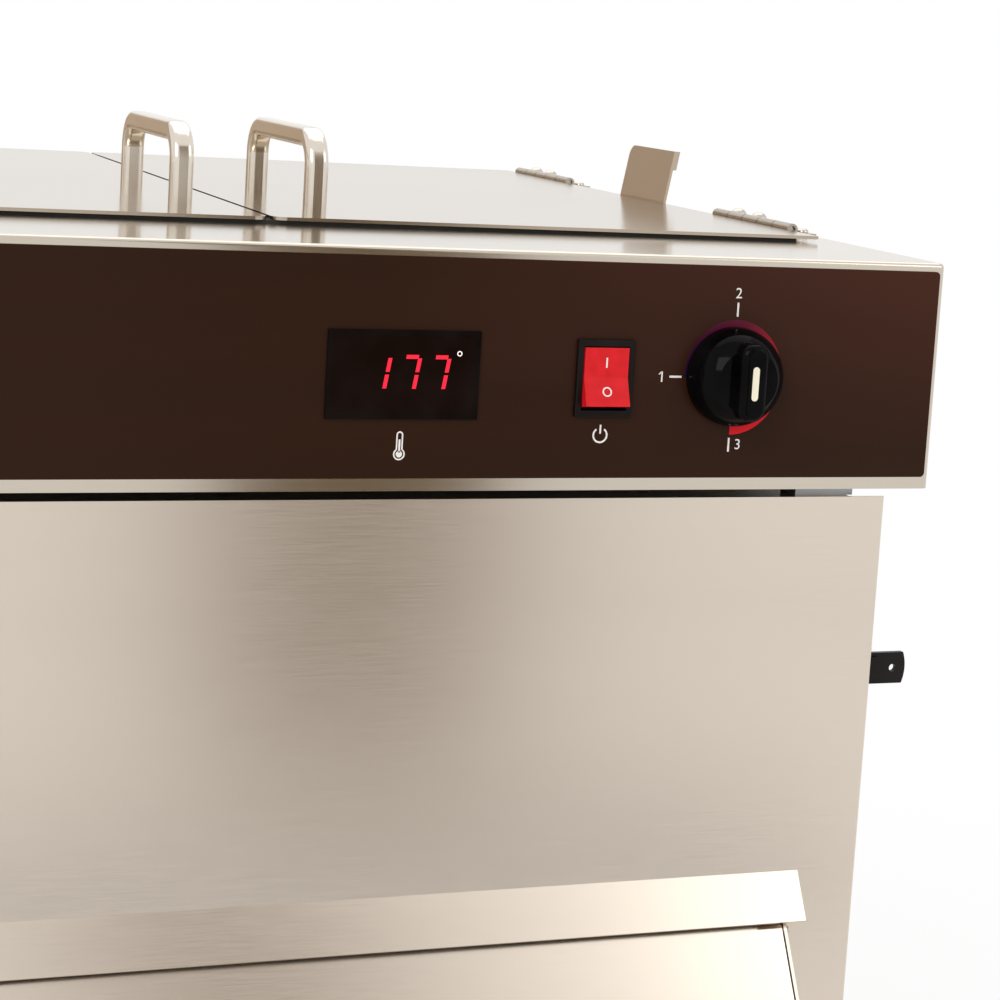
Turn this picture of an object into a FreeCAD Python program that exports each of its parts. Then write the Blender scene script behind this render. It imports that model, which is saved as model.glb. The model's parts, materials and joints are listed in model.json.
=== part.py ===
import FreeCAD, Part
import math
import os
import Sketcher

# Counter-top chip warmer. The hopper is filled through two butterfly lids in
# the deck and emptied through a sloping door in the chute at the foot of the
# front. Millimetres, +Z up, the floor at zero, the front towards -Y. The
# middle of the head lies over the origin.

V = FreeCAD.Vector
doc = FreeCAD.newDocument("ChipWarmer")
sheet = doc.addObject("Spreadsheet::Sheet", "Dims")

DIMENSIONS = [
    # head, the top housing
    ("head_width", 560.0),
    ("head_depth", 570.0),
    ("head_height", 100.0),
    ("deck_height", 700.0),
    ("head_sheet", 1.5),
    ("head_corner_radius", 3.0),
    ("head_fold_radius", 2.0),
    ("head_return_front", 30.0),
    ("head_return_side", 24.0),
    ("control_space_depth", 72.0),
    ("control_floor_lap", 7.0),
    # place of the frame's origin, the middle of the whole outline, from the head's middle
    ("frame_right_of_middle", 3.4218),
    ("frame_ahead_of_middle", 66.8047),
    # mouth of the hopper in the deck, and its margins to the head
    ("mouth_side_margin", 40.0),
    ("mouth_front", 108.0),
    ("mouth_back_margin", 60.0),
    ("gasket_height", 1.4),
    ("gasket_inset", 2.0),
    ("gasket_side_inset", 10.5),
    ("gasket_gap", 0.1),
    # lids, by their margins to the head
    ("lid_side_margin", 17.5),
    ("lid_front", 92.0),
    ("lid_back_margin", 38.0),
    ("lid_sheet", 1.5),
    ("lid_seam", 2.0),
    ("lid_corner_radius", 6.0),
    ("lid_pan_depth", 12.0),
    ("lid_pan_sheet", 1.0),
    ("lid_pan_clearance", 8.0),
    # lid pull handles and the pull of the door
    ("pull_spacing", 110.0),
    ("pull_height", 37.0),
    ("pull_width", 10.0),
    ("pull_thickness", 9.0),
    ("pull_bend_radius", 13.0),
    ("pull_edge_radius", 3.0),
    ("pull_from_seam", 30.6),
    ("pull_centre_from_face", 190.0),
    # rest tabs of the lids
    ("tab_aside_of_middle", 4.4),
    ("tab_width", 61.6),
    ("tab_foot_height", 1.0),
    ("tab_top_height", 28.0),
    ("tab_lean", 4.6),
    ("tab_corner_radius", 6.0),
    ("tab_return_width", 1.8),
    ("tab_return_height", 10.0),
    # butt hinges of the lids
    ("hinge_length", 89.0),
    ("hinge_leaf", 1.2),
    ("hinge_pin_radius", 1.6),
    ("hinge_pin_clearance", 0.05),
    ("hinge_pin_recess", 1.5),
    ("hinge_knuckle_gap", 0.5),
    ("hinge_deck_gap", 0.15),
    ("hinge_edge_gap", 3.5),
    ("hinge_lid_leaf_width", 13.0),
    ("hinge_lid_leaf_lap", 1.8),
    ("hinge_deck_leaf_width", 13.0),
    ("hinge_front_from_face", 172.0),
    ("hinge_rear_margin", 94.0),
    ("deck_screw_from_pin", 8.5),
    ("tall_screw_rear", 37.0),
    ("tall_screw_middle", 12.5),
    ("tall_screw_radius", 4.3),
    ("tall_screw_height", 5.6),
    ("tall_screw_dome", 3.9),
    ("low_screw_front", 38.0),
    ("low_screw_radius", 3.0),
    ("low_screw_height", 1.9),
    ("low_screw_dome", 1.5),
    # control overlay and what sits in it
    ("overlay_side_margin", 3.0),
    ("overlay_bottom_margin", 5.3),
    ("overlay_top_margin", 3.6),
    ("overlay_sheet", 0.6),
    ("overlay_corner_radius", 2.0),
    ("display_from_side", 246.0),
    ("display_up", 48.2),
    ("display_width", 64.5),
    ("display_tall", 36.4),
    ("display_proud", 1.2),
    ("display_rim", 2.5),
    ("display_lens", 1.0),
    ("display_case_width", 59.0),
    ("display_case_tall", 31.0),
    ("display_case_depth", 24.0),
    ("panel_hole_clearance", 0.5),
    ("rocker_from_side", 158.5),
    ("rocker_up", 47.8),
    ("rocker_frame_width", 25.4),
    ("rocker_frame_tall", 32.5),
    ("rocker_frame_proud", 2.2),
    ("rocker_case_width", 22.6),
    ("rocker_case_tall", 29.2),
    ("rocker_case_depth", 26.0),
    ("rocker_wall", 1.1),
    ("paddle_width", 19.6),
    ("paddle_half_length", 12.5),
    ("paddle_facet_angle", 11.0),
    ("paddle_face_to_pivot", 3.0),
    ("paddle_hub_radius", 8.0),
    ("paddle_face_proud", 0.5),
    ("trunnion_radius", 1.5),
    ("trunnion_length", 0.9),
    ("trunnion_clearance", 0.08),
    ("rocker_blade_width", 6.3),
    ("rocker_blade_thick", 0.8),
    ("rocker_blade_length", 8.0),
    ("rocker_blade_pitch", 8.0),
    ("knob_from_side", 100.0),
    ("knob_up", 49.4),
    ("knob_radius", 21.2),
    ("knob_skirt", 3.0),
    ("knob_dome_radius", 18.0),
    ("knob_dome_depth", 14.0),
    ("knob_face_radius", 13.5),
    ("knob_depth", 24.0),
    ("knob_panel_gap", 0.8),
    ("knob_grip_width", 13.0),
    ("knob_grip_length", 33.0),
    ("knob_grip_round", 3.4),
    ("pointer_length", 14.4),
    ("pointer_width", 3.0),
    ("pointer_depth", 0.8),
    ("shaft_radius", 3.0),
    ("shaft_clearance", 0.05),
    ("shaft_in_knob", 13.0),
    ("shaft_in_body", 10.0),
    ("bushing_radius", 5.0),
    ("bushing_proud", 0.4),
    ("thermostat_width", 40.0),
    ("thermostat_tall", 34.0),
    ("thermostat_deep", 20.0),
    ("capillary_radius", 1.0),
    ("capillary_bend", 8.0),
    ("capillary_drop", 60.0),
    ("bulb_radius", 3.0),
    ("bulb_length", 70.0),
    ("bulb_wall_gap", 6.0),
    # cabinet
    ("body_side_margin", 17.0),
    ("body_setback", 8.0),
    ("body_sheet", 1.5),
    ("body_gap", 5.0),
    ("body_bottom", 30.0),
    ("body_corner_radius", 2.0),
    ("side_top_drop", 10.0),
    ("front_return", 20.0),
    ("top_flange", 20.0),
    ("top_flange_end", 17.0),
    ("base_flange", 15.0),
    ("spacer_width", 28.0),
    ("spacer_depth", 15.0),
    ("spacer_from_side", 28.0),
    ("spacer_setback", 3.0),
    ("rear_slot_length", 60.0),
    ("rear_slot_height", 5.0),
    ("rear_slot_pitch", 14.0),
    ("rear_slot_column_pitch", 90.0),
    ("rear_slot_low", 80.0),
    ("gland_from_side", 73.0),
    ("gland_height", 62.0),
    ("gland_hole_radius", 6.0),
    ("gland_radius", 9.5),
    ("gland_body_radius", 8.0),
    ("gland_out", 14.0),
    ("gland_in", 10.0),
    ("gland_bore_radius", 3.6),
    # feet
    ("foot_from_side", 38.0),
    ("foot_from_end", 39.0),
    ("foot_base_radius", 19.0),
    ("foot_top_radius", 15.0),
    ("foot_recess_radius", 8.0),
    ("foot_recess_depth", 9.0),
    ("foot_edge_radius", 2.0),
    ("bolt_radius", 3.0),
    ("bolt_clearance", 0.2),
    ("bolt_head_across", 10.0),
    ("bolt_head_height", 4.0),
    ("nut_height", 5.0),
    ("bolt_end", 3.0),
    # hopper, heights at the cabinet's front and rear
    ("hopper_sheet", 1.5),
    ("hopper_slope_sheet", 1.8),
    ("baffle_knee_above_line", 67.9),
    ("baffle_foot_above_line", 5.9),
    ("floor_front", 152.0),
    ("floor_rear", 360.0),
    ("floor_slot_length", 34.0),
    ("floor_slot_width", 4.0),
    ("floor_slot_columns", 7.0),
    ("floor_slot_pitch_along", 26.0),
    ("floor_slot_first", 110.0),
    ("return_slot_length", 46.0),
    ("return_slot_height", 5.0),
    ("return_slot_pitch", 12.0),
    ("return_slot_columns", 5.0),
    ("return_slot_drop", 100.0),
    # serving chute
    ("chute_slope", 33.0),
    ("door_line_height", 402.1),
    ("awning_from_side", 29.0),
    ("awning_above_line", 22.3),
    ("awning_length", 23.0),
    ("awning_flange", 12.0),
    ("cheek_from_side", 36.5),
    ("cheek_above_line", 5.9),
    ("chute_reach", 125.0),
    ("tray_floor", 150.0),
    ("tray_front_top", 205.5),
    ("opening_below_line", 4.1),
    ("door_side_gap", 0.8),
    ("door_length", 239.5),
    ("door_ear_width", 12.0),
    ("door_ear_step", 2.8),
    ("door_return_start", 14.0),
    ("door_return", 9.0),
    ("door_return_stop", 16.0),
    ("door_lip", 10.0),
    ("door_pivot_drop", 1.2),
    ("door_pin_radius", 2.0),
    ("door_pin_end", 1.5),
    ("door_pull_from_pivot", 172.0),
    # small bracket on the right wall, measured from the head's face
    ("bracket_from_face", 20.0),
    ("bracket_drop", 81.8),
    ("bracket_tall", 14.4),
    ("bracket_out", 22.5),
    ("bracket_thick", 2.5),
    ("bracket_end_radius", 20.0),
    ("bracket_foot", 26.0),
    ("bracket_hole_radius", 1.7),
    ("bracket_hole_out", 17.5),
    ("bracket_pad_out", 10.5),
    ("bracket_pad_tall", 11.0),
    ("bracket_pad_proud", 1.2),
    ("bracket_pad_radius", 2.0),
    # blower under the hopper floor
    ("blower_from_back", 127.0),
    ("blower_up", 106.0),
    ("wheel_radius", 54.0),
    ("wheel_inner_radius", 42.0),
    ("wheel_width", 42.0),
    ("wheel_plate", 1.2),
    ("wheel_hub_radius", 9.0),
    ("wheel_hub_length", 16.0),
    ("blade_thick", 1.2),
    ("blade_camber_radius", 11.0),
    ("blade_lean", 7.0),
    ("blade_count", 24.0),
    ("scroll_start_gap", 6.0),
    ("scroll_growth", 24.0),
    ("scroll_sheet", 1.2),
    ("scroll_side_gap", 3.0),
    ("scroll_inlet_radius", 40.0),
    ("scroll_outlet_length", 34.0),
    ("scroll_stand_width", 70.0),
    ("scroll_foot", 12.0),
    ("motor_radius", 34.0),
    ("motor_length", 58.0),
    ("motor_end_radius", 4.0),
    ("motor_shaft_radius", 4.0),
    ("motor_shaft_clearance", 0.05),
    ("cradle_thick", 2.0),
    ("cradle_width", 30.0),
    ("cradle_foot", 22.0),
    # heater under the hopper floor
    ("heater_radius", 4.0),
    ("heater_side_gap", 90.0),
    ("heater_pitch", 36.0),
    ("heater_from_blower", 210.0),
    ("heater_height", 150.0),
    ("heater_strip_thick", 2.0),
    ("heater_strip_height", 14.0),
    ("heater_strip_inset", 50.0),
    ("heater_strip_foot", 18.0),
    ("terminal_length", 60.0),
    ("terminal_width", 22.0),
    ("terminal_tall", 18.0),
    ("terminal_from_side", 73.0),
    ("terminal_from_front", 157.0),
    ("terminal_slot", 6.0),
    ("terminal_pitch", 11.0),
    ("cut_overrun", 2.0),
]


class Size:
    """A length with its value and the expression that binds it to the sheet."""

    def __init__(self, value, text):
        self.value = value
        self.text = text

    def __add__(self, other):
        other = as_size(other)
        return Size(self.value + other.value, "(%s + %s)" % (self.text, other.text))

    def __radd__(self, other):
        return as_size(other) + self

    def __sub__(self, other):
        other = as_size(other)
        return Size(self.value - other.value, "(%s - %s)" % (self.text, other.text))

    def __rsub__(self, other):
        return as_size(other) - self

    def __mul__(self, other):
        other = as_size(other)
        return Size(self.value * other.value, "(%s * %s)" % (self.text, other.text))

    def __rmul__(self, other):
        return as_size(other) * self

    def __truediv__(self, other):
        other = as_size(other)
        return Size(self.value / other.value, "(%s / %s)" % (self.text, other.text))

    def __neg__(self):
        return Size(-self.value, "(0 - %s)" % self.text)


def as_size(item):
    """A Size as it is, or a plain count or zero as a Size."""
    if isinstance(item, Size):
        return item
    return Size(float(item), repr(float(item)))


def tangent(angle):
    """The tangent of a sheet angle, which the sheet reads in degrees."""
    return Size(math.tan(math.radians(angle.value)), "tan(%s)" % angle.text)


def sine(angle):
    """The sine of a sheet angle."""
    return Size(math.sin(math.radians(angle.value)), "sin(%s)" % angle.text)


def cosine(angle):
    """The cosine of a sheet angle."""
    return Size(math.cos(math.radians(angle.value)), "cos(%s)" % angle.text)


class Dims:
    """The driving dimensions by name."""


D = Dims()
for row, (name, value) in enumerate(DIMENSIONS, start=1):
    sheet.set("A%d" % row, name)
    sheet.set("B%d" % row, str(value))
    sheet.setAlias("B%d" % row, name)
    setattr(D, name, Size(value, "Dims." + name))
doc.recompute()

ZERO = as_size(0)


# Sketches, pads and cuts

def new_body(label):
    """An empty body that will hold one sub-part."""
    body = doc.addObject("PartDesign::Body", label)
    body.Label = label
    body.AllowCompound = True
    return body


def bind(target, path, size):
    """Bind one property or constraint of a target to a Size."""
    target.setExpression(path, size.text)


def new_sketch(body, plane, level, across=None):
    """A sketch on one of the body's origin planes, moved to a level of the axis it faces."""
    role = plane + "_Plane"
    origin = [item for item in body.Origin.OriginFeatures if item.Role == role][0]
    sketch = body.newObject("Sketcher::SketchObject", body.Name + "_sketch")
    sketch.AttachmentSupport = [(origin, "")]
    sketch.MapMode = "FlatFace"
    shift = -level if plane == "XZ" else level
    bind(sketch, ".AttachmentOffset.Base.z", shift)
    if across:
        bind(sketch, ".AttachmentOffset.Base.x", across)
    return sketch


class Rules:
    """Constraints of one sketch, added together and then bound to the sheet."""

    def __init__(self, sketch):
        self.sketch = sketch
        self.rules = []
        self.tags = []

    def join(self, before, after):
        """Make the end of one piece meet the start of the next."""
        self.rules.append(Sketcher.Constraint("Coincident", before[0], before[2], after[0], after[1]))
        self.tags.append(None)

    def hold_point(self, geo, point, spot, tag):
        """Fix both coordinates of a point from the sketch's origin."""
        for kind, size, letter in (("DistanceX", spot[0], "x"), ("DistanceY", spot[1], "y")):
            self.rules.append(Sketcher.Constraint(kind, -1, 1, geo, point, size.value))
            self.tags.append((tag + letter, size))

    def hold_radius(self, geo, size, tag):
        """Fix the radius of a circle or arc."""
        self.rules.append(Sketcher.Constraint("Radius", geo, size.value))
        self.tags.append((tag, size))

    def apply(self):
        """Add the constraints and bind the dimensions."""
        indices = self.sketch.addConstraint(self.rules)
        for index, tag in zip(indices, self.tags):
            if tag:
                self.sketch.renameConstraint(index, tag[0])
                bind(self.sketch, "Constraints." + tag[0], tag[1])


def flat(spot):
    """A spot's two coordinates as a point of the sketch."""
    return V(spot[0].value, spot[1].value, 0)


def piece_between(here, there):
    """A line, or the short arc whose centre lies to the left when the turn is one."""
    a, b = flat(here), flat(there)
    if len(here) == 2:
        return Part.LineSegment(a, b)
    radius, turn = here[2].value, here[3]
    chord = b - a
    rise = math.sqrt(max(radius ** 2 - (chord.Length / 2) ** 2, 0.0))
    left = V(-chord.y, chord.x, 0).normalize()
    return Part.Arc(a, (a + b) / 2 - left * turn * (radius - rise), b)


def draw(sketch, spots, closed=True):
    """Draw a chain of lines and arcs. A spot is (u, v), or (u, v, radius, turn) where an arc starts."""
    count = len(spots)
    last = count if closed else count - 1
    pieces = [piece_between(spots[index], spots[(index + 1) % count]) for index in range(last)]
    geos = sketch.addGeometry(pieces)
    rules = Rules(sketch)
    ends = []
    for geo, spot in zip(geos, spots):
        forward = near((sketch.getPoint(geo, 1) - flat(spot)).Length, 0)
        ends.append((geo, 1, 2) if forward else (geo, 2, 1))
    for index in range(0 if closed else 1, last):
        rules.join(ends[index - 1], ends[index])
    for end, spot in zip(ends, spots):
        rules.hold_point(end[0], end[1], spot, "p%d" % end[0])
        if len(spot) == 4:
            rules.hold_radius(end[0], spot[2], "r%d" % end[0])
    if not closed:
        rules.hold_point(ends[-1][0], ends[-1][2], spots[-1], "e%d" % ends[-1][0])
    rules.apply()


def draw_circle(sketch, centre, radius):
    """Draw one circle held by its centre and radius."""
    geo = sketch.addGeometry(Part.Circle(flat(centre), V(0, 0, 1), radius.value))
    rules = Rules(sketch)
    rules.hold_point(geo, 3, centre, "c%d" % geo)
    rules.hold_radius(geo, radius, "r%d" % geo)
    rules.apply()


def box_spots(left, right, low, high):
    """The corners of an upright rectangle."""
    return [(left, low), (right, low), (right, high), (left, high)]


def round_box_spots(left, right, low, high, radius):
    """A rectangle with rounded corners."""
    return [
        (left + radius, low),
        (right - radius, low, radius, 1),
        (right, low + radius),
        (right, high - radius, radius, 1),
        (right - radius, high),
        (left + radius, high, radius, 1),
        (left, high - radius),
        (left, low + radius, radius, 1),
    ]


def fill(sketch, shapes):
    """Draw outlines and circles. A circle is ("circle", centre, radius)."""
    for shape in shapes:
        if shape[0] == "circle":
            draw_circle(sketch, shape[1], shape[2])
        else:
            draw(sketch, shape)


def pad(body, plane, low, high, shapes):
    """Raise outlines from one level of an axis to a higher one."""
    sketch = new_sketch(body, plane, low)
    fill(sketch, shapes)
    feature = body.newObject("PartDesign::Pad", body.Name + "_pad")
    feature.Profile = sketch
    bind(feature, "Length", high - low)
    feature.Reversed = plane == "XZ"
    body.Tip = feature
    return feature


def cut(body, plane, low, high, shapes):
    """Cut outlines away from one level of an axis to a higher one, and see that it bites."""
    doc.recompute()
    before = body.Shape.Volume
    sketch = new_sketch(body, plane, low)
    fill(sketch, shapes)
    feature = body.newObject("PartDesign::Pocket", body.Name + "_cut")
    feature.Profile = sketch
    bind(feature, "Length", high - low)
    feature.Reversed = plane != "XZ"
    body.Tip = feature
    doc.recompute()
    if not body.Shape.Volume < before:
        raise RuntimeError(body.Label + ": a cut removes nothing")
    return feature


def turn_round(body, sketch, axis):
    """Turn a sketch all the way round one of its own axes."""
    feature = body.newObject("PartDesign::Revolution", body.Name + "_turn")
    feature.Profile = sketch
    feature.ReferenceAxis = (sketch, [axis])
    feature.Angle = 360.0
    body.Tip = feature


def round_edges(body, radius, test, chamfer=False):
    """Fillet or chamfer every edge that a test of its two ends accepts."""
    doc.recompute()
    names = []
    for index, edge in enumerate(body.Shape.Edges, start=1):
        ends = [vertex.Point for vertex in edge.Vertexes]
        if ends and test(edge, ends[0], ends[-1]):
            names.append("Edge%d" % index)
    if not names:
        raise RuntimeError(body.Label + ": no edge to round")
    kind = "PartDesign::Chamfer" if chamfer else "PartDesign::Fillet"
    base = body.Tip
    feature = body.newObject(kind, body.Name + "_round")
    feature.Base = (base, names)
    bind(feature, "Size" if chamfer else "Radius", radius)
    body.Tip = feature
    return feature


def near(a, b):
    """Whether two lengths agree."""
    return abs(a - b) < 1e-3


def along(axis, a, b):
    """Whether the line between two points runs along one axis."""
    return all(near(getattr(a, other), getattr(b, other)) for other in "xyz" if other != axis)


placed = set()


def place(body, x, y, z, axis=None, angle=None):
    """Move a body from the head's middle into the frame, and turn it about its own origin."""
    placed.add(body.Label)
    x = x - D.frame_right_of_middle
    y = y + D.frame_ahead_of_middle
    turn = FreeCAD.Rotation(axis, angle.value) if axis else FreeCAD.Rotation()
    body.Placement = FreeCAD.Placement(V(x.value, y.value, z.value), turn)
    bind(body, ".Placement.Base.x", x)
    bind(body, ".Placement.Base.y", y)
    bind(body, ".Placement.Base.z", z)
    if axis:
        bind(body, ".Placement.Rotation.Angle", angle)


def sweep(body, profile, path):
    """Sweep a profile sketch along an open path sketch."""
    feature = body.newObject("PartDesign::AdditivePipe", body.Name + "_pipe")
    feature.Profile = profile
    feature.Spine = path
    feature.Transition = "Round corner"
    body.Tip = feature
    return feature


# Places that several pieces share

face = -D.head_depth / 2
back = D.head_depth / 2
head_bottom = D.deck_height - D.head_height
deck_under = D.deck_height - D.head_sheet
half_head = D.head_width / 2
mouth_half = half_head - D.mouth_side_margin
mouth_front = face + D.mouth_front
mouth_back = back - D.mouth_back_margin
lid_half = half_head - D.lid_side_margin
lid_front = face + D.lid_front
lid_back = back - D.lid_back_margin
lid_under = D.deck_height + D.gasket_height + D.gasket_gap
lid_top = lid_under + D.lid_sheet
overlay_front = face - D.overlay_sheet
overlay_half = half_head - D.overlay_side_margin
overlay_bottom = head_bottom + D.overlay_bottom_margin
overlay_top = D.deck_height - D.overlay_top_margin
display_x = half_head - D.display_from_side
display_z = head_bottom + D.display_up
rocker_x = half_head - D.rocker_from_side
rocker_z = head_bottom + D.rocker_up
knob_x = half_head - D.knob_from_side
knob_z = head_bottom + D.knob_up
knuckle_bore = D.hinge_pin_radius + D.hinge_pin_clearance
knuckle_radius = knuckle_bore + D.hinge_leaf
hinge_axis_x = lid_half + D.hinge_edge_gap
hinge_axis_z = D.deck_height + D.hinge_deck_gap + knuckle_radius
hinge_places = [face + D.hinge_front_from_face, back - D.hinge_rear_margin]
body_half = half_head - D.body_side_margin
body_front = face + D.body_setback
body_back = -body_front
inner_front = body_front + D.body_sheet
inner_back = body_back - D.body_sheet
body_top = head_bottom - D.body_gap
side_top = body_top - D.side_top_drop
inner_half = body_half - D.body_sheet
base_top = D.body_bottom + D.body_sheet
hopper_outer = mouth_half + D.hopper_sheet
floor_slope = (D.floor_rear - D.floor_front) / (mouth_back - inner_front)
gland_x = D.gland_from_side - body_half
bracket_z = body_top - D.bracket_drop
slope = tangent(D.chute_slope)
slope_skin = D.body_sheet / cosine(D.chute_slope)
chute_front = face - D.chute_reach
awning_half = body_half - D.awning_from_side
cheek_outer = body_half - D.cheek_from_side
cheek_inner = cheek_outer - D.body_sheet
awning_top = D.door_line_height + D.awning_above_line
cheek_top = D.door_line_height + D.cheek_above_line
opening_top = D.door_line_height - D.opening_below_line
baffle_knee = D.door_line_height + D.baffle_knee_above_line
baffle_foot = D.door_line_height + D.baffle_foot_above_line
pivot_height = D.door_line_height - D.door_pivot_drop
door_pin_bore = D.door_pin_radius + D.hinge_pin_clearance
door_knuckle = door_pin_bore + D.body_sheet
pivot_y = face - D.door_pivot_drop * slope + door_knuckle * cosine(D.chute_slope)
pivot_z = pivot_height - door_knuckle * sine(D.chute_slope)
sides = [("left", -1), ("right", 1)]


def span(side, near_middle, far):
    """Two distances from the middle plane, in rising order, on one side."""
    if side > 0:
        return near_middle, far
    return -far, -near_middle


# Head

def make_head_shell():
    """Folded shell: deck with the mouth, face with three openings, sides and back, returns below."""
    body = new_body("head_shell")
    wide = half_head - D.head_sheet
    pad(body, "XY", head_bottom, D.deck_height, [box_spots(-half_head, half_head, face, back)])
    round_edges(body, D.head_corner_radius, lambda e, a, b: along("z", a, b))
    top = D.deck_height.value
    round_edges(body, D.head_fold_radius, lambda e, a, b: near(a.z, top) and near(b.z, top))
    skin = D.head_sheet
    cut(body, "XY", head_bottom + skin, deck_under, [box_spots(-wide, wide, face + skin, back - skin)])
    side_in = half_head - D.head_return_side
    front_in = back - D.head_return_front
    cut(body, "XY", head_bottom, head_bottom + skin, [box_spots(-side_in, side_in, -front_in, front_in)])
    mouth = box_spots(-mouth_half, mouth_half, mouth_front, mouth_back)
    cut(body, "XY", deck_under, D.deck_height, [mouth])
    openings = [
        centred_box(display_x, display_z, D.display_case_width, D.display_case_tall,
                    D.panel_hole_clearance),
        centred_box(rocker_x, rocker_z, D.rocker_case_width, D.rocker_case_tall,
                    D.panel_hole_clearance),
        ("circle", (knob_x, knob_z), D.bushing_radius + D.panel_hole_clearance),
    ]
    cut(body, "XZ", face, face + D.head_sheet, openings)
    return body


def centred_box(x, z, width, tall, clearance=ZERO):
    """An upright rectangle about a centre, larger all round by a clearance."""
    half = width / 2 + clearance
    rise = tall / 2 + clearance
    return box_spots(x - half, x + half, z - rise, z + rise)


def make_control_floor():
    """Angle that closes the control space off from the hopper and from below."""
    body = new_body("control_partition")
    wide = half_head - D.head_sheet
    wall = face + D.control_space_depth
    low = head_bottom + D.head_sheet
    front = face + D.head_return_front - D.control_floor_lap
    outline = [
        (front, low),
        (wall + D.head_sheet, low),
        (wall + D.head_sheet, deck_under),
        (wall, deck_under),
        (wall, low + D.head_sheet),
        (front, low + D.head_sheet),
    ]
    pad(body, "YZ", -wide, wide, [outline])


def make_gasket():
    """Flat rubber frame round the mouth, on which the lids rest."""
    body = new_body("lid_gasket")
    wide = lid_half - D.gasket_side_inset
    outer = box_spots(-wide, wide, lid_front + D.gasket_inset, lid_back - D.gasket_inset)
    inner = box_spots(-mouth_half, mouth_half, mouth_front, mouth_back)
    pad(body, "XY", D.deck_height, D.deck_height + D.gasket_height, [outer, inner])


# Lids

def make_lid(name, side):
    """Plain sheet with rounded corners at the seam."""
    body = new_body("lid_panel_" + name)
    near_seam, far = span(side, D.lid_seam / 2, lid_half)
    pad(body, "XY", lid_under, lid_top, [box_spots(near_seam, far, lid_front, lid_back)])
    seam = side * D.lid_seam.value / 2
    round_edges(body, D.lid_corner_radius, lambda e, a, b: along("z", a, b) and near(a.x, seam))


def make_lid_pan(name, side):
    """Shallow pan welded under the lid, open towards it."""
    body = new_body("lid_inner_pan_" + name)
    far = mouth_half - D.lid_pan_clearance
    near_seam, far = span(side, D.lid_seam / 2 + D.lid_pan_clearance, far)
    front = mouth_front + D.lid_pan_clearance
    rear = mouth_back - D.lid_pan_clearance
    low = lid_under - D.lid_pan_depth
    skin = D.lid_pan_sheet
    pad(body, "XY", low, lid_under, [box_spots(near_seam, far, front, rear)])
    inner = box_spots(near_seam + skin, far - skin, front + skin, rear - skin)
    cut(body, "XY", low + skin, lid_under, [inner])


def pull_spots(height):
    """Path of a pull: up one leg, round a bend, across, and down the other leg."""
    half = D.pull_spacing / 2
    bend = D.pull_bend_radius
    top = height - D.pull_thickness / 2
    return [
        (-half, ZERO),
        (-half, top - bend, bend, -1),
        (-half + bend, top),
        (half - bend, top, bend, -1),
        (half, top - bend),
        (half, ZERO),
    ]


def make_pull(label):
    """U-shaped pull of rounded bar, its legs along its own Y and its feet at its own zero."""
    body = new_body(label)
    section = new_sketch(body, "XY", ZERO)
    half = D.pull_width / 2
    middle = -D.pull_spacing / 2
    thick = D.pull_thickness / 2
    draw(section, round_box_spots(-half, half, middle - thick, middle + thick, D.pull_edge_radius))
    path = new_sketch(body, "YZ", ZERO)
    draw(path, pull_spots(D.pull_height), closed=False)
    sweep(body, section, path)
    return body


def make_lid_pull(name, side):
    """Pull on a lid beside the seam."""
    body = make_pull("lid_handle_" + name)
    place(body, side * D.pull_from_seam, face + D.pull_centre_from_face, lid_top)


def make_rest_tab(name, side):
    """Upright tab that leans towards the hinge, with a small return on its front edge."""
    body = new_body("lid_rest_tab_" + name)
    x = side * lid_half
    skin = side * D.lid_sheet
    lean = side * D.tab_lean
    knee = lid_top + D.tab_foot_height
    top = lid_top + D.tab_top_height
    front = (lid_front + lid_back) / 2 - D.tab_aside_of_middle - D.tab_width / 2
    rear = front + D.tab_width
    outline = [
        (x - skin, lid_top),
        (x, lid_top),
        (x, knee),
        (x + lean, top),
        (x + lean - skin, top),
        (x - skin, knee),
    ]
    pad(body, "XZ", front, rear, [outline])
    bend = D.tab_corner_radius
    corners = [[(rear, top - bend, bend, 1), (rear - bend, top), (rear, top)]]
    low, high = span(side, lid_half - D.lid_sheet, lid_half + D.tab_lean)
    cut(body, "YZ", low, high, corners)
    stop = top
    start = stop - D.tab_return_height
    low_x = x + lean * (start - knee) / (top - knee)
    high_x = x + lean * (stop - knee) / (top - knee)
    wing = side * D.tab_return_width
    flange = [(low_x, start), (low_x + wing, start), (high_x + wing, stop), (high_x, stop)]
    pad(body, "XZ", front, front + D.lid_sheet, [flange])


def knuckle_ranges(middle, picks):
    """Start and end of the picked fifths of a hinge, shortened by the gap between knuckles."""
    pitch = D.hinge_length / 5
    start = middle - D.hinge_length / 2
    ranges = []
    for pick in picks:
        low = start + pitch * pick
        high = low + pitch
        if pick > 0:
            low = low + D.hinge_knuckle_gap / 2
        if pick < 4:
            high = high - D.hinge_knuckle_gap / 2
        ranges.append((low, high))
    return ranges


LID_KNUCKLES = [0, 2, 4]
DECK_KNUCKLES = [1, 3]


def make_lid_leaves(name, side):
    """Leaves welded under the edge of the lid, with three knuckles each."""
    body = new_body("hinge_lid_leaves_" + name)
    axis = side * hinge_axis_x
    low = lid_under - D.hinge_leaf
    leaf = span(side, hinge_axis_x - D.hinge_lid_leaf_width, lid_half)
    neck = span(side, lid_half, hinge_axis_x - D.hinge_lid_leaf_lap)
    half = D.hinge_length / 2
    for place_y in hinge_places:
        outline = box_spots(leaf[0], leaf[1], place_y - half, place_y + half)
        pad(body, "XY", low, lid_under, [outline])
    for place_y in hinge_places:
        for start, end in knuckle_ranges(place_y, LID_KNUCKLES):
            pad(body, "XY", low, lid_under, [box_spots(neck[0], neck[1], start, end)])
            pad(body, "XZ", start, end, [("circle", (axis, hinge_axis_z), knuckle_radius)])
    for place_y in hinge_places:
        bore = ("circle", (axis, hinge_axis_z), knuckle_bore)
        cut(body, "XZ", place_y - half, place_y + half, [bore])


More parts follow.
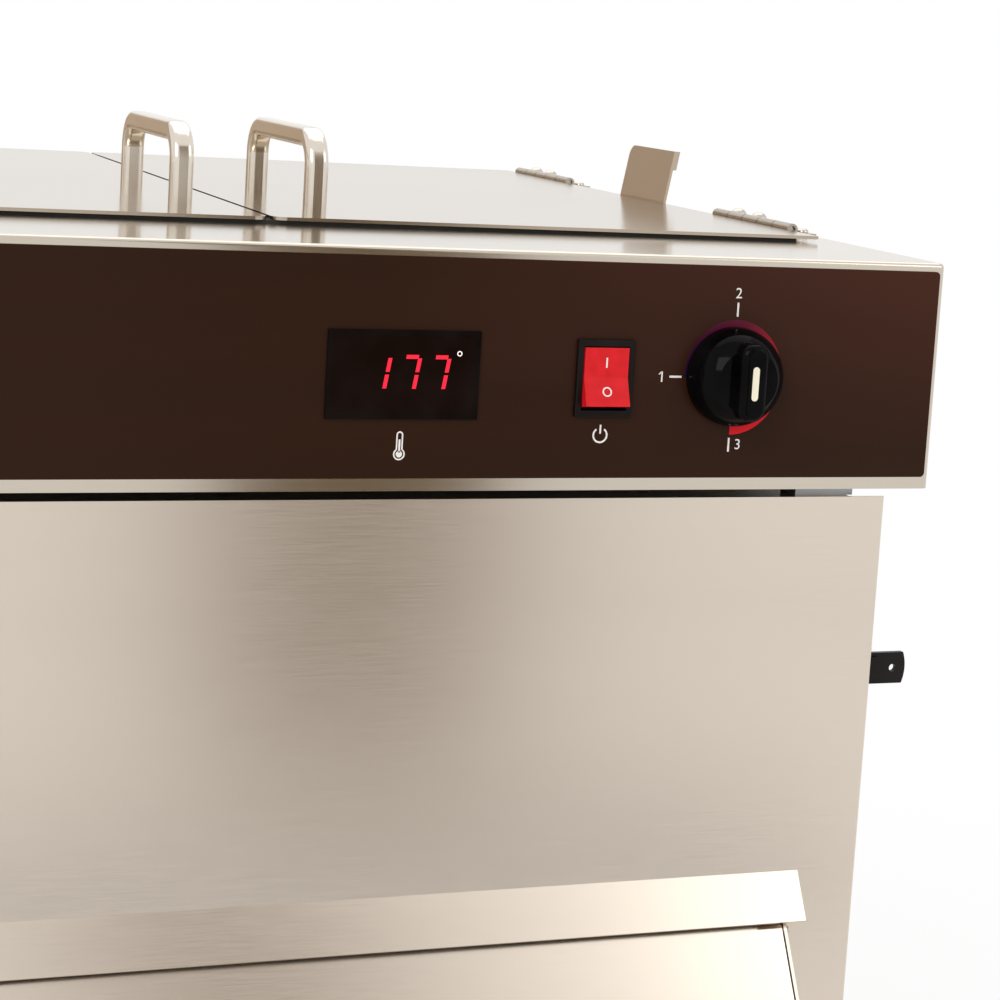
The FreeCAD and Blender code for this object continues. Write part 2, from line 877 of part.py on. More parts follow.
def make_deck_leaves():
    """Leaves screwed on the deck, with two knuckles each."""
    body = new_body("hinge_deck_leaves")
    for _, side in sides:
        add_deck_leaves(body, side)


def add_deck_leaves(body, side):
    """The two deck leaves on one side."""
    axis = side * hinge_axis_x
    deck = D.deck_height
    near_knuckles = hinge_axis_x + knuckle_radius + D.hinge_knuckle_gap
    plate = span(side, near_knuckles, hinge_axis_x + D.hinge_deck_leaf_width)
    neck = span(side, hinge_axis_x, near_knuckles)
    half = D.hinge_length / 2
    for place_y in hinge_places:
        outline = box_spots(plate[0], plate[1], place_y - half, place_y + half)
        pad(body, "XY", deck, deck + D.hinge_leaf, [outline])
    for place_y in hinge_places:
        for start, end in knuckle_ranges(place_y, DECK_KNUCKLES):
            pad(body, "XY", deck, deck + D.hinge_leaf, [box_spots(neck[0], neck[1], start, end)])
            pad(body, "XZ", start, end, [("circle", (axis, hinge_axis_z), knuckle_radius)])
    for place_y in hinge_places:
        bore = ("circle", (axis, hinge_axis_z), knuckle_bore)
        cut(body, "XZ", place_y - half, place_y + half, [bore])


def make_hinge_pins():
    """Plain pins, a little shorter than the barrels they run through."""
    body = new_body("hinge_pins")
    half = D.hinge_length / 2 - D.hinge_pin_recess
    circles = [("circle", (side * hinge_axis_x, hinge_axis_z), D.hinge_pin_radius) for _, side in sides]
    for middle in hinge_places:
        pad(body, "XZ", middle - half, middle + half, circles)


def make_hinge_screws():
    """Screws of the deck leaves: two tall domes and one low head to a leaf, as separate solids."""
    body = new_body("deck_hinge_screws")
    tall = []
    low = []
    for _, side in sides:
        x = side * (hinge_axis_x + D.deck_screw_from_pin)
        for place_y in hinge_places:
            for step in (D.tall_screw_rear, D.tall_screw_middle):
                tall.append(("circle", (x, place_y + step), D.tall_screw_radius))
            low.append(("circle", (x, place_y - D.low_screw_front), D.low_screw_radius))
    seat = D.deck_height + D.hinge_leaf
    tall_top = seat + D.tall_screw_height
    low_top = seat + D.low_screw_height
    pad(body, "XY", seat, tall_top, tall)
    pad(body, "XY", seat, low_top, low)
    for top, dome in ((tall_top.value, D.tall_screw_dome), (low_top.value, D.low_screw_dome)):
        round_edges(body, dome, lambda e, a, b: near(a.z, top) and near(b.z, top))


# Controls

def make_overlay():
    """Thin panel on the face, open behind the display, the rocker and the shaft."""
    body = new_body("control_overlay")
    wide = overlay_half
    outline = round_box_spots(-wide, wide, overlay_bottom, overlay_top, D.overlay_corner_radius)
    openings = [
        centred_box(display_x, display_z, D.display_case_width, D.display_case_tall,
                    D.panel_hole_clearance),
        centred_box(rocker_x, rocker_z, D.rocker_case_width, D.rocker_case_tall,
                    D.panel_hole_clearance),
        ("circle", (knob_x, knob_z), D.bushing_radius + D.panel_hole_clearance),
    ]
    pad(body, "XZ", overlay_front, face, [outline] + openings)


def make_display():
    """Display case with a rim on the overlay, and the dark window let into it."""
    case = new_body("display_case")
    x, z = display_x, display_z
    front = overlay_front - D.display_proud
    pad(case, "XZ", front, overlay_front, [centred_box(x, z, D.display_width, D.display_tall)])
    rear = overlay_front + D.display_case_depth
    pad(case, "XZ", overlay_front, rear, [centred_box(x, z, D.display_case_width, D.display_case_tall)])
    window = centred_box(x, z, D.display_width, D.display_tall, -D.display_rim)
    cut(case, "XZ", front, front + D.display_lens, [window])
    lens = new_body("display_window")
    pad(lens, "XZ", front, front + D.display_lens, [window])


rocker_front = overlay_front - D.rocker_frame_proud
paddle_drop = D.paddle_face_to_pivot * cosine(D.paddle_facet_angle)
rocker_pivot_y = rocker_front - D.paddle_face_proud + paddle_drop


def make_rocker_frame():
    """Moulded frame and case of the rocker switch, with three blades behind."""
    body = new_body("rocker_frame")
    x, z = rocker_x, rocker_z
    rear = overlay_front + D.rocker_case_depth
    pad(body, "XZ", rocker_front, overlay_front, [centred_box(x, z, D.rocker_frame_width, D.rocker_frame_tall)])
    front_level = rocker_front.value
    round_edges(body, D.paddle_face_proud, lambda e, a, b: near(a.y, front_level) and near(b.y, front_level))
    pad(body, "XZ", overlay_front, rear, [centred_box(x, z, D.rocker_case_width, D.rocker_case_tall)])
    well = centred_box(x, z, D.rocker_case_width, D.rocker_case_tall, -D.rocker_wall)
    well_end = rocker_pivot_y + D.paddle_hub_radius + D.rocker_wall
    cut(body, "XZ", rocker_front, well_end, [well])
    half = D.rocker_case_width / 2
    bore = D.trunnion_radius + D.trunnion_clearance
    cut(body, "YZ", x - half, x + half, [("circle", (rocker_pivot_y, z), bore)])
    blade = D.rocker_blade_width / 2
    thick = D.rocker_blade_thick / 2
    blades = []
    for step in (-1, 0, 1):
        level = z + step * D.rocker_blade_pitch
        blades.append(box_spots(x - blade, x + blade, level - thick, level + thick))
    pad(body, "XZ", rear, rear + D.rocker_blade_length, blades)


def make_paddle():
    """Paddle with two facets that meet at a shallow angle, a round hub and two trunnions."""
    body = new_body("rocker_paddle")
    rise = D.paddle_half_length * cosine(D.paddle_facet_angle)
    tip = D.paddle_face_to_pivot + D.paddle_half_length * sine(D.paddle_facet_angle)
    hub = D.paddle_hub_radius
    outline = [
        (-tip, -rise),
        (-D.paddle_face_to_pivot, ZERO),
        (-tip, rise),
        (ZERO, rise),
        (ZERO, hub, hub, -1),
        (hub, ZERO, hub, -1),
        (ZERO, -hub),
        (ZERO, -rise),
    ]
    half = D.paddle_width / 2
    pad(body, "YZ", -half, half, [outline])
    reach = half + D.trunnion_length
    pad(body, "YZ", -reach, reach, [("circle", (ZERO, ZERO), D.trunnion_radius)])
    place(body, rocker_x, rocker_pivot_y, rocker_z, V(1, 0, 0), -D.paddle_facet_angle)


knob_back = overlay_front - D.knob_panel_gap
knob_front = knob_back - D.knob_depth


def make_knob():
    """Domed knob with an upright grip and a slot for its pointer."""
    body = new_body("thermostat_knob")
    sketch = new_sketch(body, "YZ", ZERO)
    skirt = knob_back - D.knob_skirt
    dome = skirt - D.knob_dome_depth
    outline = [
        (knob_back, ZERO),
        (knob_back, D.knob_radius),
        (skirt, D.knob_radius, D.knob_dome_radius, 1),
        (dome, D.knob_face_radius),
        (dome, ZERO),
    ]
    draw(sketch, outline)
    turn_round(body, sketch, "H_Axis")
    half = D.knob_grip_width / 2
    reach = D.knob_grip_length / 2
    grip = round_box_spots(-half, half, -reach, reach, half - D.pointer_depth)
    pad(body, "XZ", knob_front, skirt, [grip])
    level = knob_front.value
    round_edges(body, D.knob_grip_round, lambda e, a, b: near(a.y, level) and near(b.y, level))
    cut(body, "XZ", knob_front, knob_front + D.pointer_depth, [pointer_spots()])
    bore = D.shaft_radius + D.shaft_clearance
    cut(body, "XZ", knob_back - D.shaft_in_knob, knob_back, [("circle", (ZERO, ZERO), bore)])
    place(body, knob_x, ZERO, knob_z)
    pointer = new_body("knob_pointer")
    pad(pointer, "XZ", knob_front, knob_front + D.pointer_depth, [pointer_spots()])
    place(pointer, knob_x, ZERO, knob_z)


def pointer_spots():
    """Outline of the pointer bar, with full round ends."""
    half = D.pointer_width / 2
    reach = D.pointer_length / 2 - half
    return [
        (-half, -reach, half, 1),
        (ZERO, -reach - half, half, 1),
        (half, -reach),
        (half, reach, half, 1),
        (ZERO, reach + half, half, 1),
        (-half, reach),
    ]


def make_thermostat():
    """Thermostat case with its bushing through the face, and the shaft that carries the knob."""
    inner = face + D.head_sheet
    shaft_end = inner + D.shaft_in_body
    case = new_body("thermostat_body")
    x, z = knob_x, knob_z
    rear = inner + D.thermostat_deep
    pad(case, "XZ", inner, rear, [centred_box(x, z, D.thermostat_width, D.thermostat_tall)])
    pad(case, "XZ", overlay_front - D.bushing_proud, inner, [("circle", (x, z), D.bushing_radius)])
    bore = D.shaft_radius + D.shaft_clearance
    start = overlay_front - D.bushing_proud
    cut(case, "XZ", start, shaft_end + D.panel_hole_clearance, [("circle", (x, z), bore)])
    shaft = new_body("thermostat_shaft")
    pad(shaft, "XZ", knob_back - D.shaft_in_knob, shaft_end, [("circle", (x, z), D.shaft_radius)])


def make_sensor():
    """Capillary from the thermostat through the partition into the hopper, ending in the bulb."""
    body = new_body("sensing_bulb")
    start = face + D.head_sheet + D.thermostat_deep
    end = mouth_front + D.bulb_wall_gap
    section = new_sketch(body, "XZ", start)
    draw_circle(section, (ZERO, ZERO), D.capillary_radius)
    path = new_sketch(body, "YZ", ZERO)
    bend = D.capillary_bend
    draw(path, [
        (start, ZERO),
        (end - bend, ZERO, bend, -1),
        (end, -bend),
        (end, -D.capillary_drop),
    ], closed=False)
    sweep(body, section, path)
    low = -D.capillary_drop - D.bulb_length
    pad(body, "XY", low, -D.capillary_drop, [("circle", (ZERO, end), D.bulb_radius)])
    place(body, knob_x, ZERO, knob_z)


def cut_capillary_holes():
    """Holes through which the capillary enters the hopper."""
    hole = ("circle", (knob_x, knob_z), D.capillary_radius + D.panel_hole_clearance)
    wall = face + D.control_space_depth
    cut(doc.getObject("control_partition"), "XZ", wall, wall + D.head_sheet, [hole])
    cut(doc.getObject("hopper_front_baffle"), "XZ", mouth_front - D.hopper_sheet, mouth_front, [hole])


# Cabinet

def make_front_panel():
    """Front sheet with rearward returns, a top flange and the serving opening."""
    body = new_body("front_panel")
    wide = body_half
    rear = body_front + D.front_return
    outline = [
        (-wide, rear),
        (-wide, body_front),
        (wide, body_front),
        (wide, rear),
        (inner_half, rear),
        (inner_half, inner_front),
        (-inner_half, inner_front),
        (-inner_half, rear),
    ]
    pad(body, "XY", D.body_bottom, side_top, [outline])
    pad(body, "XY", side_top, body_top, [box_spots(-wide, wide, body_front, inner_front)])
    flange = wide - D.top_flange_end
    shelf = box_spots(-flange, flange, inner_front, inner_front + D.top_flange)
    pad(body, "XY", body_top - D.body_sheet, body_top, [shelf])
    level = body_front.value
    round_edges(body, D.body_corner_radius / 2,
                lambda e, a, b: along("z", a, b) and near(a.y, level) and near(abs(a.x), wide.value))
    opening = box_spots(-cheek_inner, cheek_inner, D.tray_floor - D.body_sheet, opening_top)
    cut(body, "XZ", body_front, inner_front, [opening])


def make_side_panel(name, side):
    """Flat side sheet behind the front panel's return."""
    body = new_body("side_panel_" + name)
    low, high = span(side, inner_half, body_half)
    front = body_front + D.front_return
    pad(body, "XY", D.body_bottom, side_top, [box_spots(low, high, front, inner_back)])


def slot_row(count, pitch, low, length, height):
    """A row of level slots about the middle plane, their lower edges at one level."""
    shapes = []
    for column in range(count):
        x = pitch * (column - (count - 1) / 2)
        shapes.append(box_spots(x - length / 2, x + length / 2, low, low + height))
    return shapes


def repeat(body, feature, pitch, count):
    """Repeat a feature along the upright axis of its own sketch."""
    pattern = body.newObject("PartDesign::LinearPattern", body.Name + "_rows")
    pattern.Originals = [feature]
    pattern.Direction = (feature.Profile[0], ["V_Axis"])
    pattern.Occurrences = count
    bind(pattern, "Length", pitch * (count - 1))
    body.Tip = pattern


def make_rear_panel():
    """Rear sheet with a top flange, air slots and the hole of the cord gland."""
    body = new_body("rear_panel")
    wide = body_half
    pad(body, "XZ", inner_back, body_back, [box_spots(-wide, wide, D.body_bottom, body_top)])
    flange = wide - D.top_flange_end
    shelf = box_spots(-flange, flange, inner_back - D.top_flange, inner_back)
    pad(body, "XY", body_top - D.body_sheet, body_top, [shelf])
    hole = ("circle", (gland_x, D.gland_height), D.gland_hole_radius)
    cut(body, "XZ", inner_back, body_back, [hole])
    row = slot_row(3, D.rear_slot_column_pitch, D.rear_slot_low, D.rear_slot_length, D.rear_slot_height)
    repeat(body, cut(body, "XZ", inner_back, body_back, row), D.rear_slot_pitch, 8)


def make_base_pan():
    """Base sheet with upturned flanges inside the walls and a hole over each foot."""
    body = new_body("base_pan")
    skin = D.body_sheet
    low = D.body_bottom
    high = base_top + D.base_flange
    pad(body, "XY", low, high, [box_spots(-inner_half, inner_half, inner_front, inner_back)])
    inner = box_spots(-inner_half + skin, inner_half - skin, inner_front + skin, inner_back - skin)
    cut(body, "XY", base_top, high, [inner])
    hole = D.bolt_radius + D.bolt_clearance
    cut(body, "XY", low, base_top, [("circle", spot, hole) for spot in foot_places()])


def foot_places():
    """Places of the four feet."""
    rows = [body_front + D.foot_from_end, body_back - D.foot_from_end]
    return [(side * (body_half - D.foot_from_side), y) for y in rows for _, side in sides]


def make_feet():
    """Tapered rubber feet with a recess for the bolt, and the bolts and nuts that hold them."""
    bore = D.bolt_radius + D.bolt_clearance
    outline = [
        (D.foot_recess_radius, ZERO),
        (D.foot_base_radius - D.foot_edge_radius, ZERO, D.foot_edge_radius, 1),
        (D.foot_base_radius, D.foot_edge_radius),
        (D.foot_top_radius, D.body_bottom),
        (bore, D.body_bottom),
        (bore, D.foot_recess_depth),
        (D.foot_recess_radius, D.foot_recess_depth),
    ]
    feet = new_body("feet")
    for x, y in foot_places():
        sketch = new_sketch(feet, "XZ", y, x)
        draw(sketch, outline)
        turn_round(feet, sketch, "V_Axis")
    bolts = new_body("foot_bolts")
    head_low = D.foot_recess_depth - D.bolt_head_height
    heads = [hexagon(spot, D.bolt_head_across) for spot in foot_places()]
    pad(bolts, "XY", head_low, D.foot_recess_depth, heads)
    shanks = [("circle", spot, D.bolt_radius) for spot in foot_places()]
    pad(bolts, "XY", D.foot_recess_depth, base_top, shanks)
    pad(bolts, "XY", base_top, base_top + D.nut_height, heads)
    pad(bolts, "XY", base_top + D.nut_height, base_top + D.nut_height + D.bolt_end, shanks)


def hexagon(centre, across):
    """A hexagon by its width across flats."""
    half = across / 2
    corner = half * Size(2 / math.sqrt(3), "(2 / sqrt(3))")
    x, y = centre
    return [
        (x + corner, y),
        (x + corner / 2, y + half),
        (x - corner / 2, y + half),
        (x - corner, y),
        (x - corner / 2, y - half),
        (x + corner / 2, y - half),
    ]


def make_spacers():
    """Inverted channels between the cabinet's top flanges and the head's returns."""
    body = new_body("head_spacers")
    shapes = []
    cores = []
    half = D.spacer_width / 2
    skin = D.body_sheet
    front = inner_front + D.spacer_setback
    ranges = [(front, front + D.spacer_depth), (-front - D.spacer_depth, -front)]
    for _, side in sides:
        middle = side * (body_half - D.spacer_from_side)
        shapes.append(box_spots(middle - half, middle + half, body_top, head_bottom))
        cores.append(box_spots(middle - half + skin, middle + half - skin, body_top, head_bottom - skin))
    for low, high in ranges:
        pad(body, "XZ", low, high, shapes)
    cut(body, "XZ", front + skin, front + D.spacer_depth, cores)
    cut(body, "XZ", -front - D.spacer_depth, -front - skin, cores)


def make_gland():
    """Cord gland in the rear panel, with nothing through it."""
    body = new_body("cord_gland")
    spot = (gland_x, D.gland_height)
    pad(body, "XZ", body_back, body_back + D.gland_out / 2, [("circle", spot, D.gland_radius)])
    pad(body, "XZ", body_back, body_back + D.gland_out, [("circle", spot, D.gland_body_radius)])
    level = (body_back + D.gland_out).value
    round_edges(body, D.foot_edge_radius, lambda e, a, b: near(a.y, level) and near(b.y, level))
    neck = D.gland_hole_radius - D.bolt_clearance
    pad(body, "XZ", inner_back, body_back, [("circle", spot, neck)])
    pad(body, "XZ", inner_back - D.gland_in, inner_back, [("circle", spot, D.gland_body_radius)])
    low = inner_back - D.gland_in
    cut(body, "XZ", low, body_back + D.gland_out, [("circle", spot, D.gland_bore_radius)])


def make_side_bracket():
    """Small moulded bracket: a foot along the wall and an eye that stands out from it."""
    body = new_body("side_bracket")
    wall = body_half
    y = face + D.bracket_from_face
    half = D.bracket_tall / 2
    low, high = bracket_z - half, bracket_z + half
    out = wall + D.bracket_out
    bulge = D.bracket_end_radius
    eye = [(wall, low), (out, low, bulge, 1), (out, high), (wall, high)]
    pad(body, "XZ", y, y + D.bracket_thick, [eye])
    foot = box_spots(wall, wall + D.bracket_thick, y, y + D.bracket_foot)
    pad(body, "XY", low, high, [foot])
    edge = wall + D.bracket_pad_out
    pad_half = D.bracket_pad_tall / 2
    raised = round_box_spots(wall, edge, bracket_z - pad_half, bracket_z + pad_half,
                             D.bracket_pad_radius)
    pad(body, "XZ", y - D.bracket_pad_proud, y, [raised])
    hole = ("circle", (wall + D.bracket_hole_out, bracket_z), D.bracket_hole_radius)
    cut(body, "XZ", y, y + D.bracket_thick, [hole])


# Hopper

def hopper_outline():
    """Side view of the hopper, to the outside of its sheets."""
    rise = D.hopper_slope_sheet
    rear = mouth_back + D.hopper_sheet
    front = mouth_front - D.hopper_sheet
    return [
        (front, deck_under),
        (front, baffle_knee),
        (inner_front, baffle_foot),
        (inner_front, D.floor_front - rise),
        (rear, D.floor_rear - rise + floor_slope * D.hopper_sheet),
        (rear, deck_under),
    ]


def make_hopper():
    """Hopper of separate sheets: two sides, folded front baffle, rear wall and sloped floor."""
    for name, side in sides:
        body = new_body("hopper_side_" + name)
        low, high = span(side, mouth_half, hopper_outer)
        pad(body, "YZ", low, high, [hopper_outline()])
    wide = mouth_half
    rise = D.hopper_slope_sheet
    front = mouth_front - D.hopper_sheet
    baffle = new_body("hopper_front_baffle")
    outline = [
        (front, deck_under),
        (front, baffle_knee),
        (inner_front, baffle_foot),
        (inner_front, baffle_foot - rise),
        (mouth_front, baffle_knee - rise),
        (mouth_front, deck_under),
    ]
    pad(baffle, "YZ", -wide, wide, [outline])
    rear = new_body("hopper_rear_wall")
    rear_out = mouth_back + D.hopper_sheet
    wall = box_spots(-wide, wide, D.floor_rear - rise, deck_under)
    pad(rear, "XZ", mouth_back, rear_out, [wall])
    columns = int(D.return_slot_columns.value)
    pitch = mouth_half * 2 / (columns + 1)
    level = deck_under - D.return_slot_drop
    row = slot_row(columns, pitch, level, D.return_slot_length, D.return_slot_height)
    repeat(rear, cut(rear, "XZ", mouth_back, rear_out, row), D.return_slot_pitch, 5)
    floor = new_body("hopper_floor")
    outline = [
        (inner_front, D.floor_front - rise),
        (mouth_back, D.floor_rear - rise),
        (mouth_back, D.floor_rear),
        (inner_front, D.floor_front),
    ]
    pad(floor, "YZ", -wide, wide, [outline])
    first = inner_front + D.floor_slot_first
    columns = int(D.floor_slot_columns.value)
    pitch = mouth_half * 2 / (columns + 1)
    row = slot_row(columns, pitch, first, D.floor_slot_length, D.floor_slot_width)
    repeat(floor, cut(floor, "XY", D.floor_front, D.floor_rear, row), D.floor_slot_pitch_along, 9)


def make_insulation():
    """Fibre slabs between the hopper's sides and the side panels."""
    body = new_body("insulation")
    rise = D.hopper_slope_sheet
    front = body_front + D.front_return
    rear = mouth_back + D.hopper_sheet
    at_front = D.floor_front - rise + floor_slope * (front - inner_front)
    outline = [
        (front, at_front),
        (rear, D.floor_rear - rise + floor_slope * D.hopper_sheet),
        (rear, side_top),
        (front, side_top),
    ]
    for _, side in sides:
        low, high = span(side, hopper_outer, inner_half)
        pad(body, "YZ", low, high, [outline])


# Chute

def door_line(z):
    """Depth of the door's outer face at a height."""
    return face - (D.door_line_height - z) * slope


def make_awning():
    """Sloping lip over the door, folded back to a flange on the front panel."""
    body = new_body("awning_lip")
    reach = D.awning_length * sine(D.chute_slope)
    drop = D.awning_length * cosine(D.chute_slope)
    tip_y = body_front - reach
    tip_z = awning_top - drop
    in_y = D.body_sheet * cosine(D.chute_slope)
    in_z = D.body_sheet * sine(D.chute_slope)
    fold_z = awning_top - (slope_skin + D.body_sheet) / slope
    low = awning_top - D.awning_flange
    outline = [
        (body_front, awning_top),
        (tip_y, tip_z),
        (tip_y + in_y, tip_z - in_z),
        (body_front - D.body_sheet, fold_z),
        (body_front - D.body_sheet, low),
        (body_front, low),
    ]
    pad(body, "YZ", -awning_half, awning_half, [outline])


def make_cheek(name, side):
    """Side wall of the chute, with the hole of the door's pivot pin."""
    body = new_body("chute_cheek_" + name)
    low, high = span(side, cheek_inner, cheek_outer)
    corner_z = D.door_line_height - D.chute_reach / slope
    floor = D.tray_floor - D.body_sheet
    outline = [
        (body_front, cheek_top),
        (door_line(cheek_top), cheek_top),
        (chute_front, corner_z),
        (chute_front, floor),
        (body_front, floor),
    ]
    pad(body, "YZ", low, high, [outline])
    cut(body, "YZ", low, high, [("circle", (pivot_y, pivot_z), D.door_pin_radius)])


def make_tray():
    """Floor and front wall of the trough, folded from one sheet."""
    body = new_body("serving_tray")
    skin = D.body_sheet
    low = D.tray_floor - skin
    outline = [
        (inner_front, low),
        (inner_front, D.tray_floor),
        (chute_front + skin, D.tray_floor),
        (chute_front + skin, D.tray_front_top),
        (chute_front, D.tray_front_top),
        (chute_front, low),
    ]
    pad(body, "YZ", -cheek_inner, cheek_inner, [outline])


def make_door():
    """Sloping door: sheet with side returns, two ears curled round the pins, and a bottom lip."""
    body = new_body("serving_door")
    wide = cheek_inner - D.door_side_gap
    skin = D.body_sheet
    outer = -door_knuckle
    inner = outer + skin
    bottom = -D.door_length
    step = -D.door_ear_step
    pad(body, "XZ", outer, inner, [box_spots(-wide, wide, bottom, step)])
    ears = []
    for _, side in sides:
        low, high = span(side, wide - D.door_ear_width, wide)
        ears.append((low, high))
    pad(body, "XZ", outer, inner, [box_spots(low, high, step, ZERO) for low, high in ears])
    for low, high in ears:
        pad(body, "YZ", low, high, [("circle", (ZERO, ZERO), door_knuckle)])
    for _, side in sides:
        low, high = span(side, wide - skin, wide)
        flange = box_spots(inner, inner + D.door_return, bottom + D.door_return_stop, -D.door_return_start)
        pad(body, "YZ", low, high, [flange])
    lip = box_spots(outer - D.door_lip, inner, bottom, bottom + skin)
    pad(body, "YZ", -wide, wide, [lip])
    for low, high in ears:
        cut(body, "YZ", low, high, [("circle", (ZERO, ZERO), door_pin_bore)])
    place(body, ZERO, pivot_y, pivot_z, V(1, 0, 0), -D.chute_slope)


def make_door_pins():
    """Pins fixed in the cheeks on which the door's ears turn."""
    body = new_body("door_pins")
    for _, side in sides:
        inner = cheek_inner - D.door_side_gap - D.door_ear_width
        low, high = span(side, inner, cheek_outer + D.door_pin_end)
        pad(body, "YZ", low, high, [("circle", (pivot_y, pivot_z), D.door_pin_radius)])


def make_door_pull():
    """Pull across the lower half of the door, standing square to its face."""
    body = new_body("door_handle")
    half = D.pull_spacing / 2
    thick = D.pull_thickness / 2
    outer = -door_knuckle
    level = -D.door_pull_from_pivot
    section = new_sketch(body, "XZ", outer)
    wide = D.pull_width / 2
    draw(section, round_box_spots(-half - thick, -half + thick, level - wide, level + wide,
                                  D.pull_edge_radius))
    path = new_sketch(body, "XY", level)
    spots = []
    for spot in pull_spots(D.pull_height):
        moved = (spot[0], outer - spot[1])
        if len(spot) == 4:
            moved = moved + (spot[2], -spot[3])
        spots.append(moved)
    draw(path, spots, closed=False)
    sweep(body, section, path)
    place(body, ZERO, pivot_y, pivot_z, V(1, 0, 0), -D.chute_slope)


# Blower and heater

scroll_half = D.wheel_width / 2 + D.scroll_side_gap
scroll_outer = D.wheel_radius + D.scroll_start_gap + D.scroll_growth
blower = (body_back - D.blower_from_back, D.body_bottom + D.blower_up)


def scroll_spots(grow):
    """Scroll outline: quarter arcs about shifting centres, then a straight outlet to the front."""
    y, z = blower
    start = D.wheel_radius + D.scroll_start_gap
    quarter = D.scroll_growth / 4
    r1 = start + quarter + grow
    r2 = r1 + quarter
    r3 = r2 + quarter
    spots = [
        (y - start - grow, z, r1, 1),
        (y - start - grow + r1, z - r1, r2, 1),
        (y - start - grow + r1 + r2, z - r1 + r2, r3, 1),
        (y - start - grow + r1 + r2 - r3, z - r1 + r2 + r3),
        (y - start - D.scroll_outlet_length, z - r1 + r2 + r3),
        (y - start - D.scroll_outlet_length, z + quarter * 3 - grow),
        (y - start - grow, z + quarter * 3 - grow),
    ]
    return spots


def make_scroll():
    """Sheet scroll round the blower wheel, with an inlet ring and an open outlet."""
    body = new_body("blower_scroll")
    skin = D.scroll_sheet
    low, high = -scroll_half - skin, scroll_half + skin
    pad(body, "YZ", low, high, [scroll_spots(skin)])
    cut(body, "YZ", -scroll_half, scroll_half, [scroll_spots(ZERO)])
    y, z = blower
    half = D.scroll_stand_width / 2
    for start, end, foot in ((low, low + skin, low - D.scroll_foot), (high - skin, high, high)):
        pad(body, "YZ", start, end, [box_spots(y - half, y + half, base_top, z - D.wheel_radius)])
        foot_end = foot + D.scroll_foot
        pad(body, "XY", base_top, base_top + skin, [box_spots(foot, foot_end, y - half, y + half)])
    cut(body, "YZ", low, -scroll_half, [("circle", blower, D.scroll_inlet_radius)])
    cut(body, "YZ", scroll_half, high, [("circle", blower, D.wheel_hub_radius + D.scroll_side_gap)])


def make_wheel():
    """Wheel with forward-curved blades between a back plate and a front ring."""
    body = new_body("blower_wheel")
    half = D.wheel_width / 2
    plate = D.wheel_plate
    centre = (ZERO, ZERO)
    pad(body, "YZ", half - plate, half, [("circle", centre, D.wheel_radius)])
    sketch_radius = D.wheel_radius - D.blade_thick / 2
    inner = D.wheel_inner_radius
    thick = D.blade_thick
    camber = D.blade_camber_radius
    blade = [
        (inner, ZERO, camber, 1),
        (sketch_radius, D.blade_lean),
        (sketch_radius - thick / 2, D.blade_lean + thick, camber, -1),
        (inner, thick),
    ]
    feature = pad(body, "YZ", -half, half - plate, [blade])
    doc.recompute()
    pattern = body.newObject("PartDesign::PolarPattern", "blower_wheel_blades")
    pattern.Originals = [feature]
    pattern.Axis = ([item for item in body.Origin.OriginFeatures if item.Role == "X_Axis"][0], [""])
    pattern.Angle = 360.0
    bind(pattern, "Occurrences", D.blade_count)
    body.Tip = pattern
    ring = [("circle", centre, D.wheel_radius), ("circle", centre, D.wheel_inner_radius)]
    pad(body, "YZ", -half, -half + plate, ring)
    hub = D.wheel_hub_length
    pad(body, "YZ", half - hub, half, [("circle", centre, D.wheel_hub_radius)])
    cut(body, "YZ", half - hub, half, [("circle", centre, D.motor_shaft_radius)])
    place(body, ZERO, blower[0], blower[1])


motor_start = scroll_half + D.scroll_sheet + D.scroll_side_gap


def make_motor():
    """Motor beside the scroll, with rounded ends and a bore for its shaft; the shaft turns."""
    body = new_body("blower_motor")
    end = motor_start + D.motor_length
    pad(body, "YZ", motor_start, end, [("circle", blower, D.motor_radius)])
    levels = (motor_start.value, end.value)
    round_edges(body, D.motor_end_radius,
                lambda e, a, b: near(a.x, b.x) and any(near(a.x, level) for level in levels))
    bore = D.motor_shaft_radius + D.motor_shaft_clearance
    depth = D.motor_length / 2
    cut(body, "YZ", motor_start, motor_start + depth, [("circle", blower, bore)])
    shaft = new_body("blower_shaft")
    half = D.wheel_width / 2
    start = half - D.wheel_hub_length
    finish = motor_start + depth - D.scroll_side_gap
    pad(shaft, "YZ", start, finish, [("circle", blower, D.motor_shaft_radius)])


def make_cradle():
    """Upright bracket that carries the motor from the base, with a foot each way."""
    body = new_body("motor_cradle")
    y, z = blower
    skin = D.cradle_thick
    low = motor_start + (D.motor_length - D.cradle_width) / 2
    half = D.motor_radius
    outline = [
        (y - half - D.cradle_foot, base_top),
        (y + half + D.cradle_foot, base_top),
        (y + half + D.cradle_foot, base_top + skin),
        (y + half, base_top + skin),
        (y + half, z, half, -1),
        (y, z - half, half, -1),
        (y - half, z),
        (y - half, base_top + skin),
        (y - half - D.cradle_foot, base_top + skin),
    ]
    pad(body, "YZ", low, low + D.cradle_width, [outline])
    leg = half - skin
    window_top = z - half - skin
    window = box_spots(y - leg, y + leg, base_top + skin, window_top)
    cut(body, "YZ", low, low + D.cradle_width, [window])


heater_half = mouth_half - D.heater_side_gap
heater_strip_x = heater_half - D.heater_strip_inset


def heater_rows():
    """Depths of the heater's four passes."""
    first = blower[0] - D.heater_from_blower
    return [first + D.heater_pitch * row for row in range(4)]


